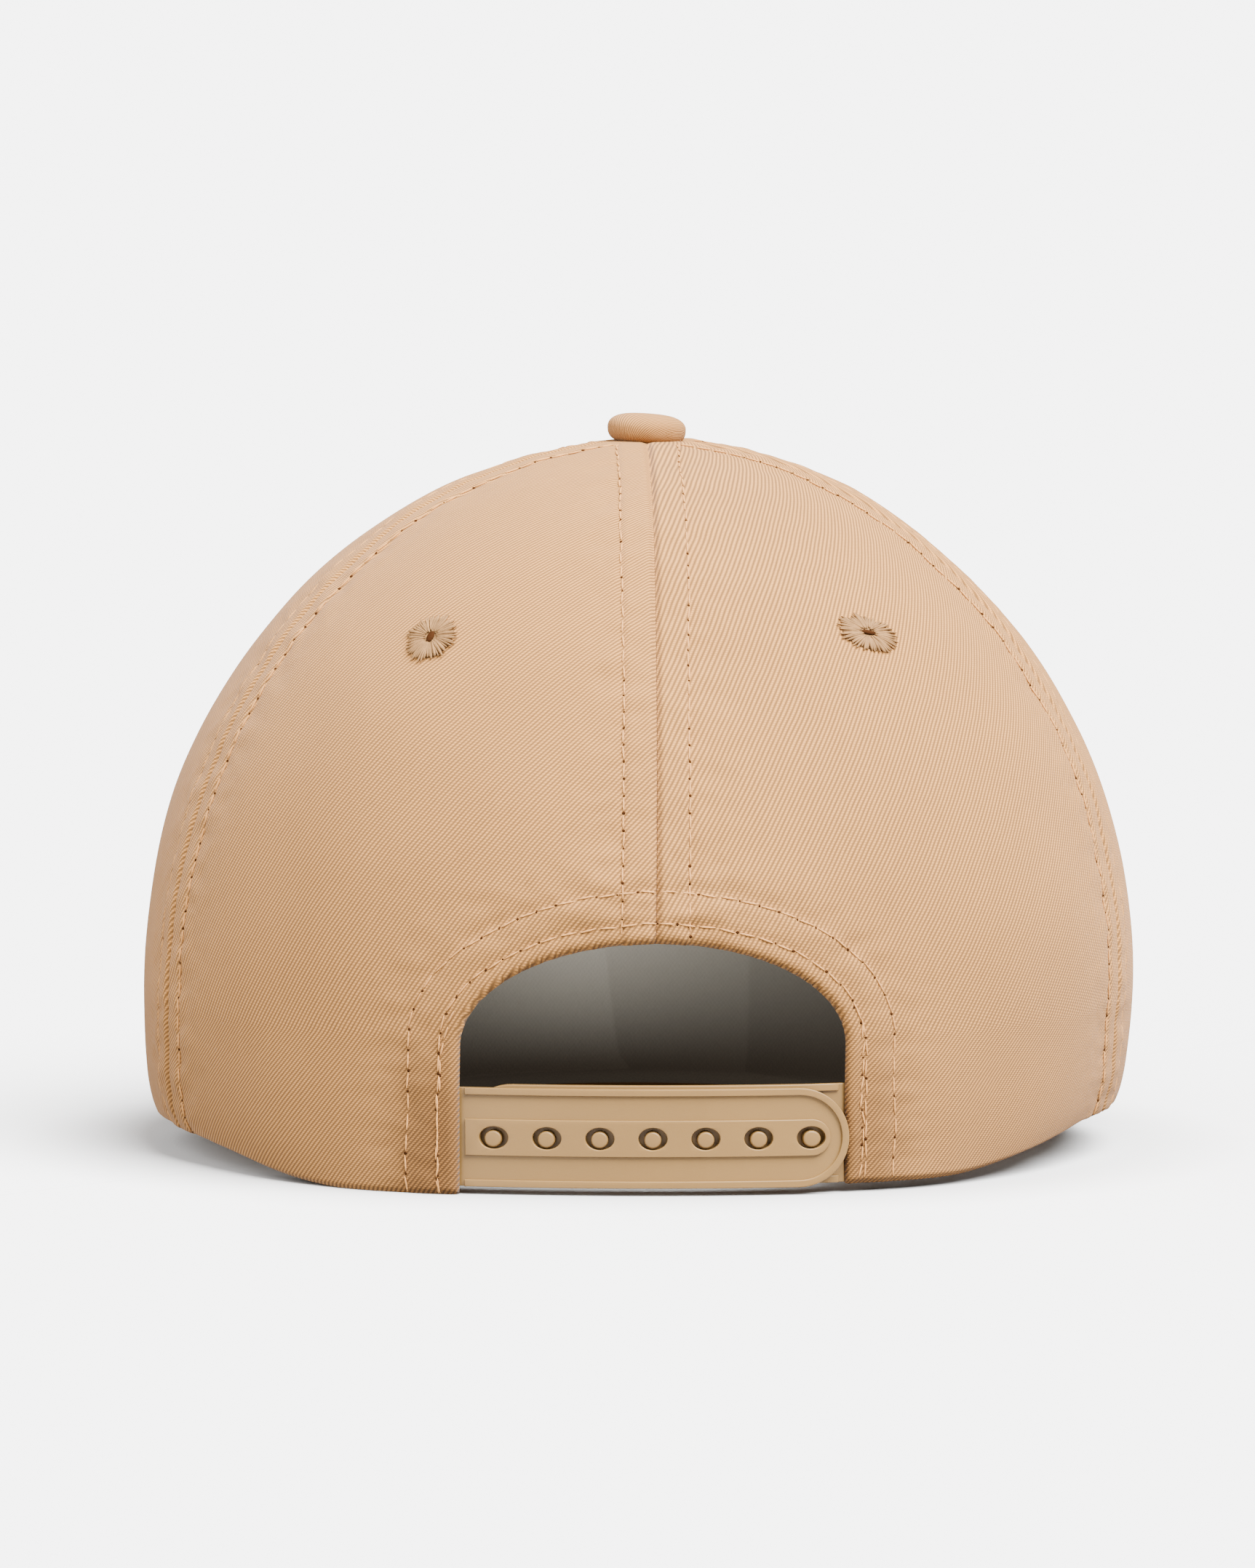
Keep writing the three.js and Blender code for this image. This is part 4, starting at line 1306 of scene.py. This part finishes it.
def build_hole_strap():
    start = -RIM_START
    holes = [oval_points(x, STRAP_MIDDLE, *SNAP_HOLE) for x in SNAPS]
    strip = strip_points(-FLEX_X - ROOT_LENGTH, HOLE_STRAP_END, STRAP_MIDDLE, STRAP_HEIGHT)
    rib_strip = strip_points(start + 0.1, HOLE_STRAP_END - RIB_MARGIN, STRAP_MIDDLE, RIB_HEIGHT)
    ridge = (-STRAP_WEB - STRAP_RIDGE, -RIDGE_ROOT, RIDGE_EDGE)
    web = plate([strip] + holes, -STRAP_WEB, 0, WEB_EDGE)
    rims = plate([rim_outline(start, HOLE_STRAP_END, STRAP_MIDDLE)], *ridge)
    rib = plate([rib_strip] + holes, *ridge)
    flex, y = (-FLEX_X - FLEX_ZONE, -FLEX_X + FLEX_ZONE), hole_strap_inner(-FLEX_X) - STRAP_WEB
    strap_piece("hole_strap", [web, rims, rib], hole_strap_inner, HOLE_ARM, flex, y, STRAP_MIDDLE)


def peg_mesh(x):
    """A snap peg: a short round post with a rolled edge."""
    bm = bmesh.new()
    tip = hole_strap_inner(x) - STRAP_WEB - STRAP_RIDGE + PEG_RECESS - peg_strap_outer(x)
    base = STRAP_WEB / 2
    bmesh.ops.create_cone(bm, cap_ends=True, segments=32, radius1=PEG_FOOT_RADIUS, radius2=PEG_RADIUS,
                          depth=base - tip)
    top = [e for e in bm.edges if all(v.co.z > 0 for v in e.verts)]
    bmesh.ops.bevel(bm, geom=top, offset=PEG_ROLL, segments=4, profile=0.5, affect="EDGES", material=-1)
    turn = Matrix.Rotation(math.radians(90), 4, "X")
    spot = Matrix.Translation((x, (base + tip) / 2, STRAP_MIDDLE - PEG_SETTLE))
    bmesh.ops.transform(bm, matrix=spot @ turn, verts=bm.verts)
    mesh = bpy.data.meshes.new("peg")
    bm.to_mesh(mesh)
    bm.free()
    return mesh


def build_peg_strap():
    end, middle = -FLEX_X + FIT / 2, STRAP_MIDDLE + PEG_LIFT
    web = plate([strip_points(FLEX_X + ROOT_LENGTH, end, middle, STRAP_HEIGHT)], 0, STRAP_WEB, WEB_EDGE)
    rims = plate([rim_outline(RIM_START, end, middle)], -STRAP_RIDGE, RIDGE_ROOT, RIDGE_EDGE)
    pegs = [peg_mesh(x) for x in SNAPS]
    flex, y = (FLEX_X + FLEX_ZONE, FLEX_X - FLEX_ZONE), peg_strap_outer(FLEX_X) + STRAP_WEB
    strap_piece("peg_strap", [web, rims] + pegs, peg_strap_outer, PEG_ARM, flex, y, middle)


build_hole_strap()
build_peg_strap()

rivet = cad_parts["button_rivet"]
rivet.data.materials.clear()
rivet.data.materials.append(STEEL)


# ---- Floor, light and camera -----------------------------

PALE = (0.76, 0.76, 0.76)
CONTACT_SHADE = (0.14, 0.135, 0.13)
SHADE_REACH = 0.03


def build_floor():
    """A pale table that darkens close to the cap and throws no colour back on it."""
    bm = bmesh.new()
    bmesh.ops.create_grid(bm, x_segments=1, y_segments=1, size=150.0)
    mesh = bpy.data.meshes.new("floor")
    bm.to_mesh(mesh)
    bm.free()
    floor = bpy.data.objects.new("floor", mesh)
    bpy.context.scene.collection.objects.link(floor)
    shade = Shade("pale_floor", PALE, 0.9, Specular_IOR_Level=0.0)
    open_sky = shade.node("ShaderNodeAmbientOcclusion", {"samples": 8}, {"Distance": SHADE_REACH}, "AO")
    shade.feed("Base Color", shade.blend(open_sky.at_most(1.0), CONTACT_SHADE, PALE))
    floor.data.materials.append(shade.material)
    floor.visible_diffuse = False


def sun(name, azimuth, elevation, power, angle):
    """A soft distant light: azimuth 0 shines from behind the camera and 90 from its right."""
    data = bpy.data.lights.new(name, "SUN")
    data.energy, data.angle = power, math.radians(angle)
    light = bpy.data.objects.new(name, data)
    a, e = math.radians(azimuth), math.radians(elevation)
    towards = Vector((math.sin(a) * math.cos(e), -math.cos(a) * math.cos(e), math.sin(e)))
    light.rotation_euler = towards.to_track_quat("Z", "Y").to_euler()
    bpy.context.scene.collection.objects.link(light)


def set_world(strength):
    world = bpy.data.worlds.new("studio")
    world.use_nodes = True
    world.node_tree.nodes["Background"].inputs["Color"].default_value = (1, 1, 1, 1)
    world.node_tree.nodes["Background"].inputs["Strength"].default_value = strength
    bpy.context.scene.world = world


def set_camera():
    yaw, tilt, distance = math.radians(1.95), math.radians(4.7), 2.0
    aim = Vector((-0.0017, -0.037, 0.0712))
    forward = Vector((math.sin(yaw) * math.cos(tilt), math.cos(yaw) * math.cos(tilt), -math.sin(tilt)))
    data = bpy.data.cameras.new("camera")
    data.sensor_fit, data.sensor_height, data.lens = "VERTICAL", 36.0, 230.4
    data.clip_end = 400
    camera = bpy.data.objects.new("camera", data)
    camera.location = aim - forward * distance
    camera.rotation_euler = forward.to_track_quat("-Z", "Y").to_euler()
    bpy.context.scene.collection.objects.link(camera)
    bpy.context.scene.camera = camera


build_floor()
set_world(0.9)
sun("key", azimuth=44, elevation=55, power=25.0, angle=50)
sun("fill", azimuth=-60, elevation=15, power=6.0, angle=90)
set_camera()
